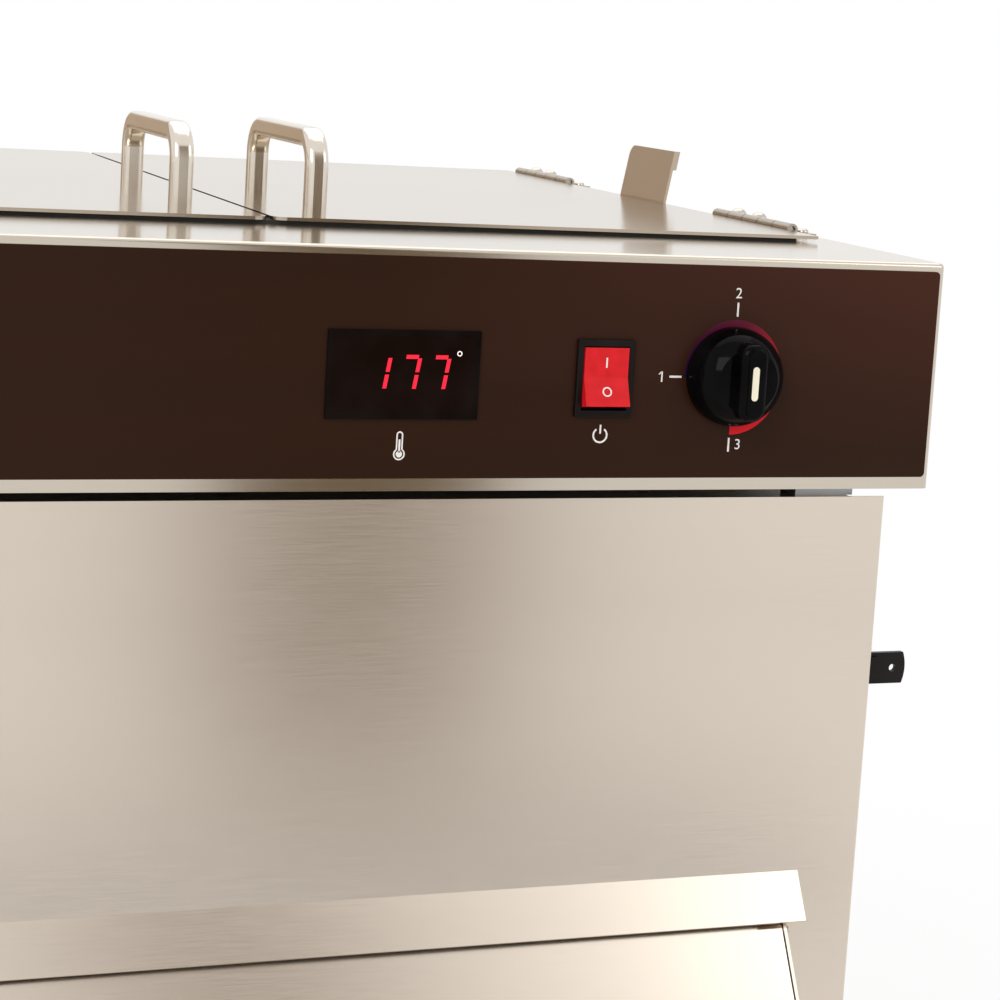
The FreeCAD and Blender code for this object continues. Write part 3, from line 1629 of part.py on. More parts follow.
def make_heater():
    """Sheathed element bent to four passes, and the two strips that carry it."""
    body = new_body("heater_element")
    rows = heater_rows()
    bend = D.heater_pitch / 2
    wide = heater_half - bend
    spots = [(-wide - bend, rows[0]), (wide, rows[0], bend, 1), (wide + bend, rows[0] + bend, bend, 1),
             (wide, rows[1]), (-wide, rows[1], bend, -1), (-wide - bend, rows[1] + bend, bend, -1),
             (-wide, rows[2]), (wide, rows[2], bend, 1), (wide + bend, rows[2] + bend, bend, 1),
             (wide, rows[3]), (-wide - bend, rows[3])]
    section = new_sketch(body, "YZ", -wide - bend)
    draw_circle(section, (rows[0], D.heater_height), D.heater_radius)
    path = new_sketch(body, "XY", D.heater_height)
    draw(path, spots, closed=False)
    sweep(body, section, path)
    strips = new_body("heater_strips")
    thick = D.heater_strip_thick
    front = rows[0] - D.heater_pitch / 2
    rear = rows[3] + D.heater_pitch / 2
    top = D.heater_height + D.heater_strip_height / 2
    for _, side in sides:
        low, high = span(side, heater_strip_x, heater_strip_x + thick)
        pad(strips, "YZ", low, high, [box_spots(front, rear, base_top, top)])
        inner, outer = span(side, heater_strip_x - D.heater_strip_foot,
                            heater_strip_x)
        pad(strips, "XY", base_top, base_top + thick, [box_spots(inner, outer, front, rear)])
    holes = [("circle", (row, D.heater_height), D.heater_radius) for row in rows]
    for _, side in sides:
        low, high = span(side, heater_strip_x, heater_strip_x + thick)
        cut(strips, "YZ", low, high, holes)


def make_terminals():
    """Terminal block on the base, with a row of cross slots."""
    body = new_body("terminal_block")
    x, y = inner_half - D.terminal_from_side, body_front + D.terminal_from_front
    half = D.terminal_length / 2
    wide = D.terminal_width / 2
    top = base_top + D.terminal_tall
    pad(body, "XY", base_top, top, [box_spots(x - half, x + half, y - wide, y + wide)])
    slots = []
    for step in (-2, -1, 0, 1, 2):
        middle = x + D.terminal_pitch * step
        slot = D.terminal_slot / 2
        slots.append(box_spots(middle - slot, middle + slot, top - D.terminal_slot, top))
    cut(body, "XZ", y - wide, y + wide, slots)


make_head_shell()
make_control_floor()
make_gasket()
for name, side in sides:
    make_lid(name, side)
    make_lid_pan(name, side)
    make_lid_pull(name, side)
    make_rest_tab(name, side)
    make_lid_leaves(name, side)
make_deck_leaves()
make_hinge_pins()
make_hinge_screws()
make_overlay()
make_display()
make_rocker_frame()
make_paddle()
make_knob()
make_thermostat()
make_sensor()
make_front_panel()
for name, side in sides:
    make_side_panel(name, side)
    make_cheek(name, side)
make_insulation()
make_rear_panel()
make_base_pan()
make_feet()
make_spacers()
make_gland()
make_side_bracket()
make_hopper()
cut_capillary_holes()
make_awning()
make_tray()
make_door()
make_door_pins()
make_door_pull()
make_scroll()
make_wheel()
make_motor()
make_cradle()
make_heater()
make_terminals()

bodies = [item for item in doc.Objects if item.TypeId == "PartDesign::Body"]
for body in bodies:
    if body.Label not in placed:
        place(body, ZERO, ZERO, ZERO)
doc.recompute()
for item in doc.Objects:
    if "Invalid" in item.State or "Error" in item.State:
        raise RuntimeError(item.Label + " failed to recompute")
for body in bodies:
    if body.Shape.isNull() or not body.Shape.isValid():
        raise RuntimeError(body.Label + " has no valid shape")
os.makedirs("parts", exist_ok=True)
for body in bodies:
    body.Shape.exportStep("parts/" + body.Label + ".step")
print(len(bodies), "parts written")
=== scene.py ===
import json
import math

import bmesh
import bpy
from bpy.props import FloatProperty, PointerProperty, StringProperty
from mathutils import Matrix, Vector


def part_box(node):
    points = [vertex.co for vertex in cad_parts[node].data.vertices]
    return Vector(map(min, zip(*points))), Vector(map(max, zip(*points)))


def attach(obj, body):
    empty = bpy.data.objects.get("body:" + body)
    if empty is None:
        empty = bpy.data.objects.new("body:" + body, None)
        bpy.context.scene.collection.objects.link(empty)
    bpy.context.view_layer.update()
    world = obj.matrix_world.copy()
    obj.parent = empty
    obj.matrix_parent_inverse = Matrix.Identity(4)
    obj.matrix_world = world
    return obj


bl_info = {
    "name": "Chip Warmer Dressing",
    "version": (1, 0, 0),
    "blender": (4, 5, 0),
    "location": "View3D > Sidebar > Warmer",
    "description": "Finishes, printed marks, readout and studio for a counter-top chip warmer",
    "category": "Object",
}

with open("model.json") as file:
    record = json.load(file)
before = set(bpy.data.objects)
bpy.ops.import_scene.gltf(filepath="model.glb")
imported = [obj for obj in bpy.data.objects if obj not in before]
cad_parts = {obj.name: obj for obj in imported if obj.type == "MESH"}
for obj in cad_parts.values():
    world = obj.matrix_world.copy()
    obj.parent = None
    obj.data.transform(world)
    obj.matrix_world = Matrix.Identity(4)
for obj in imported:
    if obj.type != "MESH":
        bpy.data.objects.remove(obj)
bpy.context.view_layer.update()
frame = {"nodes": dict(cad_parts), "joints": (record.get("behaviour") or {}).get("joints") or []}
NODES = frame["nodes"]

MM = 0.001
WELD = 1e-6  # points closer than this are one, in metres
FULL_TURN = 2 * math.pi


# The solids

def low(node):
    """Lowest corner of a CAD node, in metres."""
    return Vector(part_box(node)[0])


def high(node):
    """Highest corner of a CAD node, in metres."""
    return Vector(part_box(node)[1])


def middle(node):
    """Middle of a CAD node, in metres."""
    return (low(node) + high(node)) / 2


def pivot_of(body):
    """Where the joint of a moving body stands, in metres."""
    joint = next(item for item in frame["joints"] if item["child"] == body)
    return Vector(joint["pos_m"])


def give(material, *nodes):
    """Give CAD nodes one material, on all of their slots."""
    for node in nodes:
        slots = NODES[node].material_slots
        if not slots:
            NODES[node].data.materials.append(material)
        for slot in slots:
            slot.material = material


# Colours

def linear(hex_colour):
    """An sRGB hex colour as a linear RGBA tuple."""
    parts = [int(hex_colour[i:i + 2], 16) / 255 for i in (1, 3, 5)]
    turned = [c / 12.92 if c <= 0.04045 else ((c + 0.055) / 1.055) ** 2.4 for c in parts]
    return (*turned, 1.0)


def shade(colour, share, lift=0.0):
    """A linear colour times a share, with a little added, up to white."""
    return (*(min(c * share + lift, 1.0) for c in colour[:3]), 1.0)


def grey(value):
    """A linear grey."""
    return (value, value, value, 1.0)


# Node trees

def put(node, values):
    """Set constant values on a node's own sockets."""
    for key, value in values.items():
        node.inputs[key].default_value = value


def wire(tree, node, links):
    """Link sources to a node's sockets."""
    for key, source in links.items():
        tree.links.new(source, node.inputs[key])


def add(tree, kind, modes=None, values=None, links=None):
    """Add a node with its modes, socket values and incoming links."""
    node = tree.nodes.new("ShaderNode" + kind)
    for key, value in (modes or {}).items():
        setattr(node, key, value)
    put(node, values or {})
    wire(tree, node, links or {})
    return node


def new_material(name, kind="BsdfPrincipled"):
    """A node material with one shader on its surface."""
    material = bpy.data.materials.new(name)
    material.use_nodes = True
    tree = material.node_tree
    tree.nodes.clear()
    shader = add(tree, kind)
    add(tree, "OutputMaterial", links={"Surface": shader.outputs[0]})
    return material, tree, shader


def object_place(tree):
    """The place of a point on its piece, and in the frame, as pieces sit at the origin."""
    return add(tree, "TexCoord").outputs["Object"]


def noise(tree, scale, detail, rough, stretch=(1.0, 1.0, 1.0)):
    """A noise pattern over a piece, with a scale along each axis."""
    place = add(tree, "Mapping", values={"Scale": stretch}, links={"Vector": object_place(tree)})
    node = add(tree, "TexNoise", values={"Scale": scale, "Detail": detail, "Roughness": rough},
               links={"Vector": place.outputs["Vector"]})
    return node.outputs["Fac"]


def ramp(tree, source, stops):
    """The colour of a ramp with stops of (place, linear colour)."""
    node = add(tree, "ValToRGB", links={"Fac": source})
    elements = node.color_ramp.elements
    elements[0].position, elements[0].color = stops[0]
    elements[1].position, elements[1].color = stops[-1]
    for place, colour in stops[1:-1]:
        elements.new(place).color = colour
    return node.outputs["Color"]


def share_between(tree, source, start, end, first=0.0, last=1.0):
    """A value as its share of the way from a start to an end, drawn between first and last."""
    node = add(tree, "MapRange", links={"Value": source},
               values={"From Min": start, "From Max": end, "To Min": first, "To Max": last})
    return node.outputs["Result"]


def reckon(tree, operation, *terms):
    """The result of a Math node on links, and on a constant for any term that is a number."""
    node = add(tree, "Math", {"operation": operation})
    for index, term in enumerate(terms):
        if isinstance(term, float):
            put(node, {index: term})
        else:
            wire(tree, node, {index: term})
    return node.outputs["Value"]


def bump(tree, shader, height, strength, distance):
    """Bump a shader by a height pattern."""
    node = add(tree, "Bump", values={"Strength": strength, "Distance": distance},
               links={"Height": height})
    wire(tree, shader, {"Normal": node.outputs["Normal"]})


# Finishes

STREAK_LENGTH = 60.0  # length of a brushed streak over its width
CLOUDS_ACROSS = 7.0   # scale of the slow clouds across the grain, and along it
CLOUDS_ALONG = 1.6
FINE_RELIEF = 0.02 * MM


def brushed_metal(name, colour, rough, grain, streak_mm, depth, cloud):
    """Metal with a brushed or drawn grain along one axis.

    The grain is drawn as long streaks. Real ones are under a tenth of a
    millimetre apart, so these are drawn coarser to show. A slow cloud turns
    the colour a little lighter and darker at random: partly the uneven tone
    of handled sheet, and partly painted soft reflections.
    """
    material, tree, shader = new_material(name)
    axis = "XYZ".index(grain)
    fine = [1.0 / (streak_mm * MM)] * 3
    fine[axis] /= STREAK_LENGTH
    slow = [CLOUDS_ACROSS] * 3
    slow[axis] = CLOUDS_ALONG
    streaks = noise(tree, 1.0, detail=4.0, rough=0.6, stretch=fine)
    clouds = noise(tree, 1.0, detail=3.0, rough=0.55, stretch=slow)
    base = linear(colour)
    # the slow clouds, lighter and darker at random: uneven tone of the sheet, and painted soft
    # reflections
    tint = ramp(tree, clouds, [(0.3, shade(base, 1.0 - cloud)), (0.5, base),
                               (0.7, shade(base, 1.0 + cloud * 0.6))])
    tone = ramp(tree, streaks, [(0.3, grey(0.955)), (0.7, grey(1.0))])
    # a colour Mix has its factor at socket 0, its colours at 6 and 7 and its result at 2
    mixed = add(tree, "Mix", {"data_type": "RGBA", "blend_type": "MULTIPLY"}, {0: 1.0},
                {6: tint, 7: tone})
    gloss = ramp(tree, streaks, [(0.25, grey(rough * 0.9)), (0.75, grey(rough * 1.12))])
    wire(tree, shader, {"Base Color": mixed.outputs[2], "Roughness": gloss})
    put(shader, {"Metallic": 1.0})
    bump(tree, shader, streaks, depth, FINE_RELIEF)
    return material


def moulded_plastic(name, colour, rough, grit_mm, depth, shine=0.25):
    """Moulded plastic with a fine tool texture that breaks its highlight."""
    material, tree, shader = new_material(name)
    grit = noise(tree, 1.0 / (grit_mm * MM), detail=2.0, rough=0.5)
    wear = noise(tree, 45.0, detail=3.0, rough=0.5)
    base = linear(colour)
    tint = ramp(tree, wear, [(0.35, base), (0.75, shade(base, 1.25, 0.004))])
    gloss = ramp(tree, wear, [(0.3, grey(rough * 0.85)), (0.7, grey(min(rough * 1.2, 1.0)))])
    wire(tree, shader, {"Base Color": tint, "Roughness": gloss})
    put(shader, {"Specular IOR Level": shine})
    bump(tree, shader, grit, depth, FINE_RELIEF)
    return material


def rubber(name, colour):
    """Black rubber, matt, with a faint bloom."""
    material, tree, shader = new_material(name)
    bloom = noise(tree, 60.0, detail=4.0, rough=0.6)
    base = linear(colour)
    tint = ramp(tree, bloom, [(0.4, base), (0.8, shade(base, 1.6, 0.006))])
    wire(tree, shader, {"Base Color": tint})
    put(shader, {"Roughness": 0.75})
    pores = noise(tree, 1500.0, detail=2.0, rough=0.5)
    bump(tree, shader, pores, strength=0.3, distance=0.03 * MM)
    return material


def fibre(name, colour):
    """Pressed mineral fibre board, matt and speckled."""
    material, tree, shader = new_material(name)
    speck = noise(tree, 1.0, detail=5.0, rough=0.7, stretch=(300.0, 300.0, 900.0))
    base = linear(colour)
    tint = ramp(tree, speck, [(0.3, shade(base, 0.6)), (0.65, base)])
    wire(tree, shader, {"Base Color": tint})
    put(shader, {"Roughness": 0.9})
    bump(tree, shader, speck, strength=0.6, distance=0.5 * MM)
    return material


def overlay_film(name, colour, painted_sheen_colour):
    """Printed polyester film: dark brown under a clear satin face, with a painted sheen that turns
    it redder to the upper right.
    """
    material, tree, shader = new_material(name)
    split = add(tree, "SeparateXYZ", links={"Vector": object_place(tree)})
    # the painted sheen grows over these stretches of the head's face, in metres in the frame
    rightward = share_between(tree, split.outputs["X"], start=0.02, end=0.28)
    upward = share_between(tree, split.outputs["Z"], start=0.62, end=0.70)
    corner = reckon(tree, "MULTIPLY", rightward, upward)
    streaks = noise(tree, 1.0, detail=3.0, rough=0.5, stretch=(4.0, 4.0, 60.0))
    # the film's random streaks turn it a little toward the sheen colour; the painted sheen in the
    # upper right corner turns it more
    streaks_and_painted_sheen = reckon(tree, "MULTIPLY_ADD", streaks, 0.25, corner)
    tint = ramp(tree, streaks_and_painted_sheen, [(0.08, linear(colour)), (1.0, linear(painted_sheen_colour))])
    wire(tree, shader, {"Base Color": tint})
    put(shader, {"Roughness": 0.30, "Specular IOR Level": 0.09})
    satin = noise(tree, 2600.0, detail=2.0, rough=0.5)
    bump(tree, shader, satin, strength=0.12, distance=FINE_RELIEF)
    return material


def ink(name, colour, glow=0.0):
    """Screen-printed ink, or a lit segment where it glows."""
    material, tree, shader = new_material(name)
    base = linear(colour)
    grain = noise(tree, 1200.0, detail=2.0, rough=0.5)
    tint = ramp(tree, grain, [(0.3, shade(base, 0.88)), (0.7, base)])
    wire(tree, shader, {"Base Color": tint})
    put(shader, {"Roughness": 0.45})
    if glow:
        wire(tree, shader, {"Emission Color": tint})
        put(shader, {"Emission Strength": glow})
    return material


def dial_ink(name, centre, cold, mild, hot):
    """Ink that turns from blue through purple to red round the dial."""
    material, tree, shader = new_material(name)
    place = add(tree, "Mapping", values={"Location": -centre}, links={"Vector": object_place(tree)})
    split = add(tree, "SeparateXYZ", links={"Vector": place.outputs["Vector"]})
    # the angle runs from 9 o'clock, over 12 and 3, to 6 o'clock
    angle = reckon(tree, "ARCTAN2", split.outputs["Z"], split.outputs["X"])
    heat = share_between(tree, angle, start=math.pi, end=-math.pi / 2)
    tint = ramp(tree, heat, [(0.0, linear(cold)), (0.38, linear(mild)), (0.8, linear(hot))])
    wire(tree, shader, {"Base Color": tint})
    put(shader, {"Roughness": 0.35, "Specular IOR Level": 0.09})
    return material


def lit_red(name, colour):
    """Red translucent switch moulding with a lamp behind it."""
    material, tree, shader = new_material(name)
    base = linear(colour)
    deeper = (base[0] * 0.85, base[1] * 0.7, base[2] * 0.7, 1.0)
    haze = noise(tree, 180.0, detail=3.0, rough=0.5)
    tint = ramp(tree, haze, [(0.3, deeper), (0.7, base)])
    wire(tree, shader, {"Base Color": tint, "Emission Color": tint})
    put(shader, {"Emission Strength": 0.15, "Roughness": 0.22, "Specular IOR Level": 0.2})
    return material


# Settings

class WARMER_PG_settings(bpy.types.PropertyGroup):
    """Sizes and colours of the finish."""

    stainless: StringProperty(name="Stainless", description="Sheet colour, sRGB hex",
                              default="#dfd3c5")
    # the head and the lids are the same stainless as the panel: their darker colours are painted
    # shade
    deck: StringProperty(name="Deck", description="Head colour, sRGB hex", default="#cfc5b7")
    lid: StringProperty(name="Lids", description="Lid colour, sRGB hex", default="#bfb2a1")
    overlay: StringProperty(name="Overlay", description="Film colour, sRGB hex", default="#2c190e")
    # painted sheen: the colour the film is turned toward at its upper right, standing in for light
    # reflected off the film
    overlay_painted_sheen: StringProperty(name="Overlay sheen", description="Film colour, upper right",
                                  default="#42241a")
    red: StringProperty(name="Rocker red", description="Switch colour, sRGB hex", default="#cf1b23")
    digits: StringProperty(name="Digits", description="Colour of the lit digits, sRGB hex",
                           default="#e2082c")
    ring_radius: FloatProperty(name="Ring radius", description="Outer radius of the dial print",
                               default=24.7 * MM, unit="LENGTH")
    ring_start: FloatProperty(name="Ring start width", description="Width of the print at low",
                              default=2.0 * MM, unit="LENGTH")
    ring_end: FloatProperty(name="Ring end width", description="Width of the print at high",
                            default=8.0 * MM, unit="LENGTH")
    print_aside: FloatProperty(name="Print aside", description="Dial print right of the spindle",
                               default=0.9 * MM, unit="LENGTH")
    print_drop: FloatProperty(name="Print drop", description="Dial print below the spindle",
                              default=0.7 * MM, unit="LENGTH")
    print_squeeze: FloatProperty(name="Print squeeze",
                                 description="Width of the dial print over its height",
                                 default=0.92, subtype="FACTOR")
    tick_length: FloatProperty(name="Tick length", description="Length of a dial tick",
                               default=6.0 * MM, unit="LENGTH")
    tick_width: FloatProperty(name="Tick width", description="Width of a dial tick",
                              default=0.9 * MM, unit="LENGTH")
    print_height: FloatProperty(name="Numeral height", description="Height of the dial numerals",
                                default=4.6 * MM, unit="LENGTH")
    ink_thickness: FloatProperty(name="Ink thickness",
                                 description="How far print stands off the film",
                                 default=0.08 * MM, unit="LENGTH")
    digit_height: FloatProperty(name="Digit height", description="Height of a lit digit",
                                default=13.6 * MM, unit="LENGTH")
    chute_slope: FloatProperty(name="Door slope", description="Lean of the door from upright",
                               default=math.radians(33.0), subtype="ANGLE")
    door_face: FloatProperty(name="Door face", description="Outer face of the door from its pin",
                             default=3.55 * MM, unit="LENGTH")
    door_sheet: FloatProperty(name="Door sheet", description="Thickness of the door's sheet",
                              default=1.5 * MM, unit="LENGTH")
    door_step: FloatProperty(name="Door step", description="Sheet's edge below the pin",
                             default=2.8 * MM, unit="LENGTH")
    door_rise: FloatProperty(name="Door rise", description="Sheet's edge carried on above the pin",
                             default=4.2 * MM, unit="LENGTH")
    door_ear: FloatProperty(name="Door ear", description="Width of the ear round each pin",
                            default=12.0 * MM, unit="LENGTH")


def settings():
    """The scene's settings."""
    return bpy.context.scene.warmer


# New pieces. Print is drawn flat in X and Z round the origin, and then set on its face.

# door: how much of the sheet its eased edge takes, and what that leaves off at the corner
EASED_EDGE, EASED_CORNER = 0.45, 0.3

# signs: where their open circles start and end, and how far they stand under their control
OPEN_AT_TOP, OPEN_AT_TOP_END = math.radians(125), math.radians(415)
THERMOMETER_DROP, POWER_DROP = 14.6 * MM, 8.0 * MM

# dial: how its ring swells towards high, and what lies between ring, ticks and numerals
RING_SWELL = 1.6
TICK_GAP, NUMERAL_GAP, BESIDE_TICK = 1.4 * MM, 5.2 * MM, 4.2 * MM
FONT_SHARE = 1.38  # size of the font over the height of its numbers

# readout: its digits by the bars they light, each bar's place in half digits, and whether it
# lies level; then width, bar and pitch over the height, the lean, and the places in the window
READING = "177"
DIGIT_BARS = {"1": "bc", "7": "abc"}
BARS = {"a": (0.0, 1.0, True), "b": (1.0, 0.5, False), "c": (1.0, -0.5, False)}
DIGIT_WIDTH, DIGIT_BAR, DIGIT_PITCH, DIGIT_SLANT = 0.48, 0.12, 0.92, 0.16
LEVEL_BAR, BAR_GAP = 0.8, 0.7  # length of a level bar over the width, and the gap over the bar
DIGITS_ASIDE, DIGITS_RAISE = 2.2 * MM, 0.6 * MM
DEGREE_ASIDE, DEGREE_RAISE = 1.86, 0.66  # over the pitch and over the height
DEGREE_RADIUS, DEGREE_LINE = 1.1 * MM, 0.4 * MM

# paddle: its ridge before the pivot, the angle of its two facets, and the marks on them
PADDLE_RIDGE, PADDLE_FACET, MARK_FROM_RIDGE = 3.0 * MM, math.radians(11.0), 6.2 * MM
MARK_BAR_WIDE, MARK_BAR_TALL = 0.7 * MM, 4.2 * MM
MARK_RING_RADIUS, MARK_RING_LINE = 2.1 * MM, 0.6 * MM


def finish_mesh(name, mesh, material, body):
    """Turn a bmesh into a piece that rides on a body."""
    data = bpy.data.meshes.new(name)
    bmesh.ops.recalc_face_normals(mesh, faces=mesh.faces)
    mesh.to_mesh(data)
    mesh.free()
    data.materials.append(material)
    piece = bpy.data.objects.new(name, data)
    bpy.context.scene.collection.objects.link(piece)
    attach(piece, body)


def extrude(mesh, faces, offset):
    """Extrude faces by an offset; the faces themselves stay and close the shape."""
    made = bmesh.ops.extrude_face_region(mesh, geom=faces)
    moved = [item for item in made["geom"] if isinstance(item, bmesh.types.BMVert)]
    bmesh.ops.translate(mesh, verts=moved, vec=offset)


def flat_box(mesh, x, z, width, tall, slant=0.0):
    """A flat rectangle about a place in X and Z, leaning right by the slant."""
    points = []
    for across, up in ((-1, -1), (1, -1), (1, 1), (-1, 1)):
        px = x + across * width / 2 + slant * up * tall / 2
        points.append(mesh.verts.new((px, 0.0, z + up * tall / 2)))
    mesh.faces.new(points)


def arc_band(mesh, radius, width, start, end, steps, up=0.0):
    """Spin a short edge into a flat band of one width, from +X towards +Z, round a place in Z."""
    centre = Vector((0.0, 0.0, up))
    outward = Vector((math.cos(start), 0.0, math.sin(start)))
    tips = [mesh.verts.new(centre + outward * reach) for reach in (radius - width, radius)]
    bmesh.ops.spin(mesh, geom=[*tips, mesh.edges.new(tips)], cent=centre, axis=(0.0, -1.0, 0.0),
                   angle=end - start, steps=steps, use_merge=math.isclose(end - start, FULL_TURN))


def tapered_band(mesh, radius, width_at, start, end, steps):
    """A flat band along an arc, with its width given by the share of the way."""
    rungs = []
    for step in range(steps + 1):
        share = step / steps
        angle = start + (end - start) * share
        outward = Vector((math.cos(angle), 0.0, math.sin(angle)))
        rungs.append([mesh.verts.new(outward * reach)
                      for reach in (radius - width_at(share), radius)])
    for (inner, outer), (next_inner, next_outer) in zip(rungs, rungs[1:]):
        mesh.faces.new((inner, outer, next_outer, next_inner))


def squeeze(mesh, share):
    """Draw a print narrower across, about its middle."""
    bmesh.ops.scale(mesh, verts=mesh.verts, vec=(share, 1.0, 1.0))


def print_piece(name, mesh, material, x, z, front):
    """Thicken a flat drawing and set it on a face whose outside looks to -Y."""
    depth = settings().ink_thickness
    extrude(mesh, list(mesh.faces), (0.0, depth, 0.0))
    bmesh.ops.translate(mesh, verts=mesh.verts, vec=(x, front - depth, z))
    finish_mesh(name, mesh, material, "cabinet")


def numeral(name, text, material, x, z, size, front):
    """A plain number as a mesh, set on the overlay."""
    curve = bpy.data.curves.new(name + "_curve", "FONT")
    curve.body = text
    curve.size = size * FONT_SHARE
    curve.align_x = "CENTER"
    curve.align_y = "CENTER"
    curve.extrude = settings().ink_thickness / 2
    curve.resolution_u = 6
    source = bpy.data.objects.new(name + "_source", curve)
    bpy.context.scene.collection.objects.link(source)
    bpy.context.view_layer.update()
    data = bpy.data.meshes.new_from_object(source)
    bpy.data.objects.remove(source)
    bpy.data.curves.remove(curve)
    data.transform(Matrix.Rotation(math.radians(90), 4, "X"))
    data.transform(Matrix.Translation((x, front - settings().ink_thickness / 2, z)))
    mesh = bmesh.new()
    mesh.from_mesh(data)
    bpy.data.meshes.remove(data)
    bmesh.ops.remove_doubles(mesh, verts=mesh.verts, dist=WELD)
    finish_mesh(name, mesh, material, "cabinet")


def draw_digit(mesh, digit, x, z, tall):
    """The lit bars of one seven-bar digit, leaning right."""
    wide = tall * DIGIT_WIDTH
    bar = tall * DIGIT_BAR
    for name in DIGIT_BARS[digit]:
        across, up, level = BARS[name]
        cx = x + across * wide / 2 + DIGIT_SLANT * up * tall / 2
        cz = z + up * tall / 2
        if level:
            flat_box(mesh, cx, cz, wide * LEVEL_BAR, bar, DIGIT_SLANT)
        else:
            flat_box(mesh, cx, cz, bar, tall / 2 - bar * BAR_GAP, DIGIT_SLANT)


def draw_one(mesh, tall):
    """A 1 with its flag, so that it doesn't read as a bar."""
    stroke, flag_wide, flag_tall, flag_lean = 0.14 * tall, 0.15 * tall, 0.3 * tall, 0.9
    flag_left, flag_up = 0.15 * tall, 0.34 * tall
    flat_box(mesh, 0.0, 0.0, stroke, tall)
    flat_box(mesh, -flag_left, flag_up, flag_wide, flag_tall, flag_lean)


def draw_thermometer(mesh):
    """An outlined stem with a round top and a filled middle, over a filled bulb."""
    line = 0.6 * MM
    stem_radius, stem_middle, stem_tall, stem_top = 1.45 * MM, 4.9 * MM, 6.2 * MM, 8.0 * MM
    bulb_radius, filling_radius = 2.5 * MM, 1.35 * MM
    filling_middle, filling_wide, filling_tall = 3.4 * MM, 0.8 * MM, 5.4 * MM
    arc_band(mesh, bulb_radius, line, OPEN_AT_TOP, OPEN_AT_TOP_END, 28)
    bmesh.ops.create_circle(mesh, cap_ends=True, radius=filling_radius, segments=24,
                            matrix=Matrix.Rotation(math.radians(90), 4, "X"))
    for side in (-1, 1):
        flat_box(mesh, side * (stem_radius - line / 2), stem_middle, line, stem_tall)
    flat_box(mesh, 0.0, filling_middle, filling_wide, filling_tall)
    arc_band(mesh, stem_radius, line, 0.0, math.pi, 12, stem_top)


def draw_power(mesh):
    """A circle, open at its top, with an upright bar in the opening."""
    line, radius = 0.75 * MM, 3.4 * MM
    bar_middle, bar_tall = 2.5 * MM, 3.8 * MM
    arc_band(mesh, radius, line, OPEN_AT_TOP, OPEN_AT_TOP_END, 36)
    flat_box(mesh, 0.0, bar_middle, line, bar_tall)


# Steps

class WARMER_OT_metal(bpy.types.Operator):
    """Give the sheet metal, pulls, hinges and screws their finishes"""

    bl_idname = "warmer.metal"
    bl_label = "Metal finishes"

    def execute(self, context):
        s = settings()
        # 304 sheet brushed along its length: a warm grey with soft level streaks
        give(brushed_metal("stainless_304_brushed", s.stainless, rough=0.23, grain="X",
                           streak_mm=0.30, depth=0.10, cloud=0.05),
             "front_panel", "rear_panel", "awning_lip", "serving_tray", "serving_door")
        give(brushed_metal("stainless_304_brushed_side", s.stainless, rough=0.28, grain="Y",
                           streak_mm=0.30, depth=0.10, cloud=0.05),
             "side_panel_left", "side_panel_right", "chute_cheek_left", "chute_cheek_right")
        # the thin tabs, bent from an offcut: finer grain, a little darker
        give(brushed_metal("stainless_304_offcut", "#c0b09d", rough=0.30, grain="Y",
                           streak_mm=0.25, depth=0.03, cloud=0.03),
             "lid_rest_tab_left", "lid_rest_tab_right")
        # the same sheet with its film just off: nearly a mirror at low angles; its colour is
        # painted darker than the panel's, as shade
        give(brushed_metal("stainless_304_bright", s.deck, rough=0.14, grain="X",
                           streak_mm=0.3, depth=0.06, cloud=0.03),
             "head_shell")
        # the lids: the same sheet, their colour painted darker still, as shade
        give(brushed_metal("stainless_304_lid", s.lid, rough=0.16, grain="X",
                           streak_mm=0.3, depth=0.06, cloud=0.03),
             "lid_panel_left", "lid_panel_right")
        # ground and buffed bar of the pulls
        give(brushed_metal("stainless_bar_buffed", "#e4dbce", rough=0.16, grain="Z",
                           streak_mm=0.4, depth=0.15, cloud=0.07),
             "lid_handle_left", "lid_handle_right")
        give(brushed_metal("stainless_bar_buffed_level", "#d6ccbf", rough=0.16, grain="X",
                           streak_mm=0.4, depth=0.15, cloud=0.07),
             "door_handle")
        # pressed and rolled hinge leaves, turned pins and shafts: satin steel
        give(brushed_metal("hinge_steel_satin", "#b0a598", rough=0.2, grain="Y",
                           streak_mm=0.4, depth=0.3, cloud=0.08),
             "hinge_deck_leaves", "hinge_lid_leaves_left", "hinge_lid_leaves_right",
             "hinge_pins", "door_pins", "thermostat_shaft", "blower_shaft")
        # domed screws and bolts, a little paler
        give(brushed_metal("screw_steel_passivated", "#c9c0b5", rough=0.2, grain="Y",
                           streak_mm=0.5, depth=0.2, cloud=0.08),
             "deck_hinge_screws", "foot_bolts")
        # mill finish sheet inside the hopper, duller and cooler
        give(brushed_metal("stainless_mill_finish", "#c2bcb2", rough=0.36, grain="Z",
                           streak_mm=0.8, depth=0.2, cloud=0.08),
             "hopper_side_left", "hopper_side_right", "hopper_front_baffle", "hopper_rear_wall",
             "hopper_floor", "lid_inner_pan_left", "lid_inner_pan_right")
        # hot-dip zinc on the inner brackets, a cloudy grey
        give(brushed_metal("steel_zinc_coated", "#a9adb0", rough=0.42, grain="Y",
                           streak_mm=3.0, depth=0.2, cloud=0.16),
             "control_partition", "head_spacers", "base_pan", "blower_scroll", "motor_cradle",
             "heater_strips")
        return {"FINISHED"}


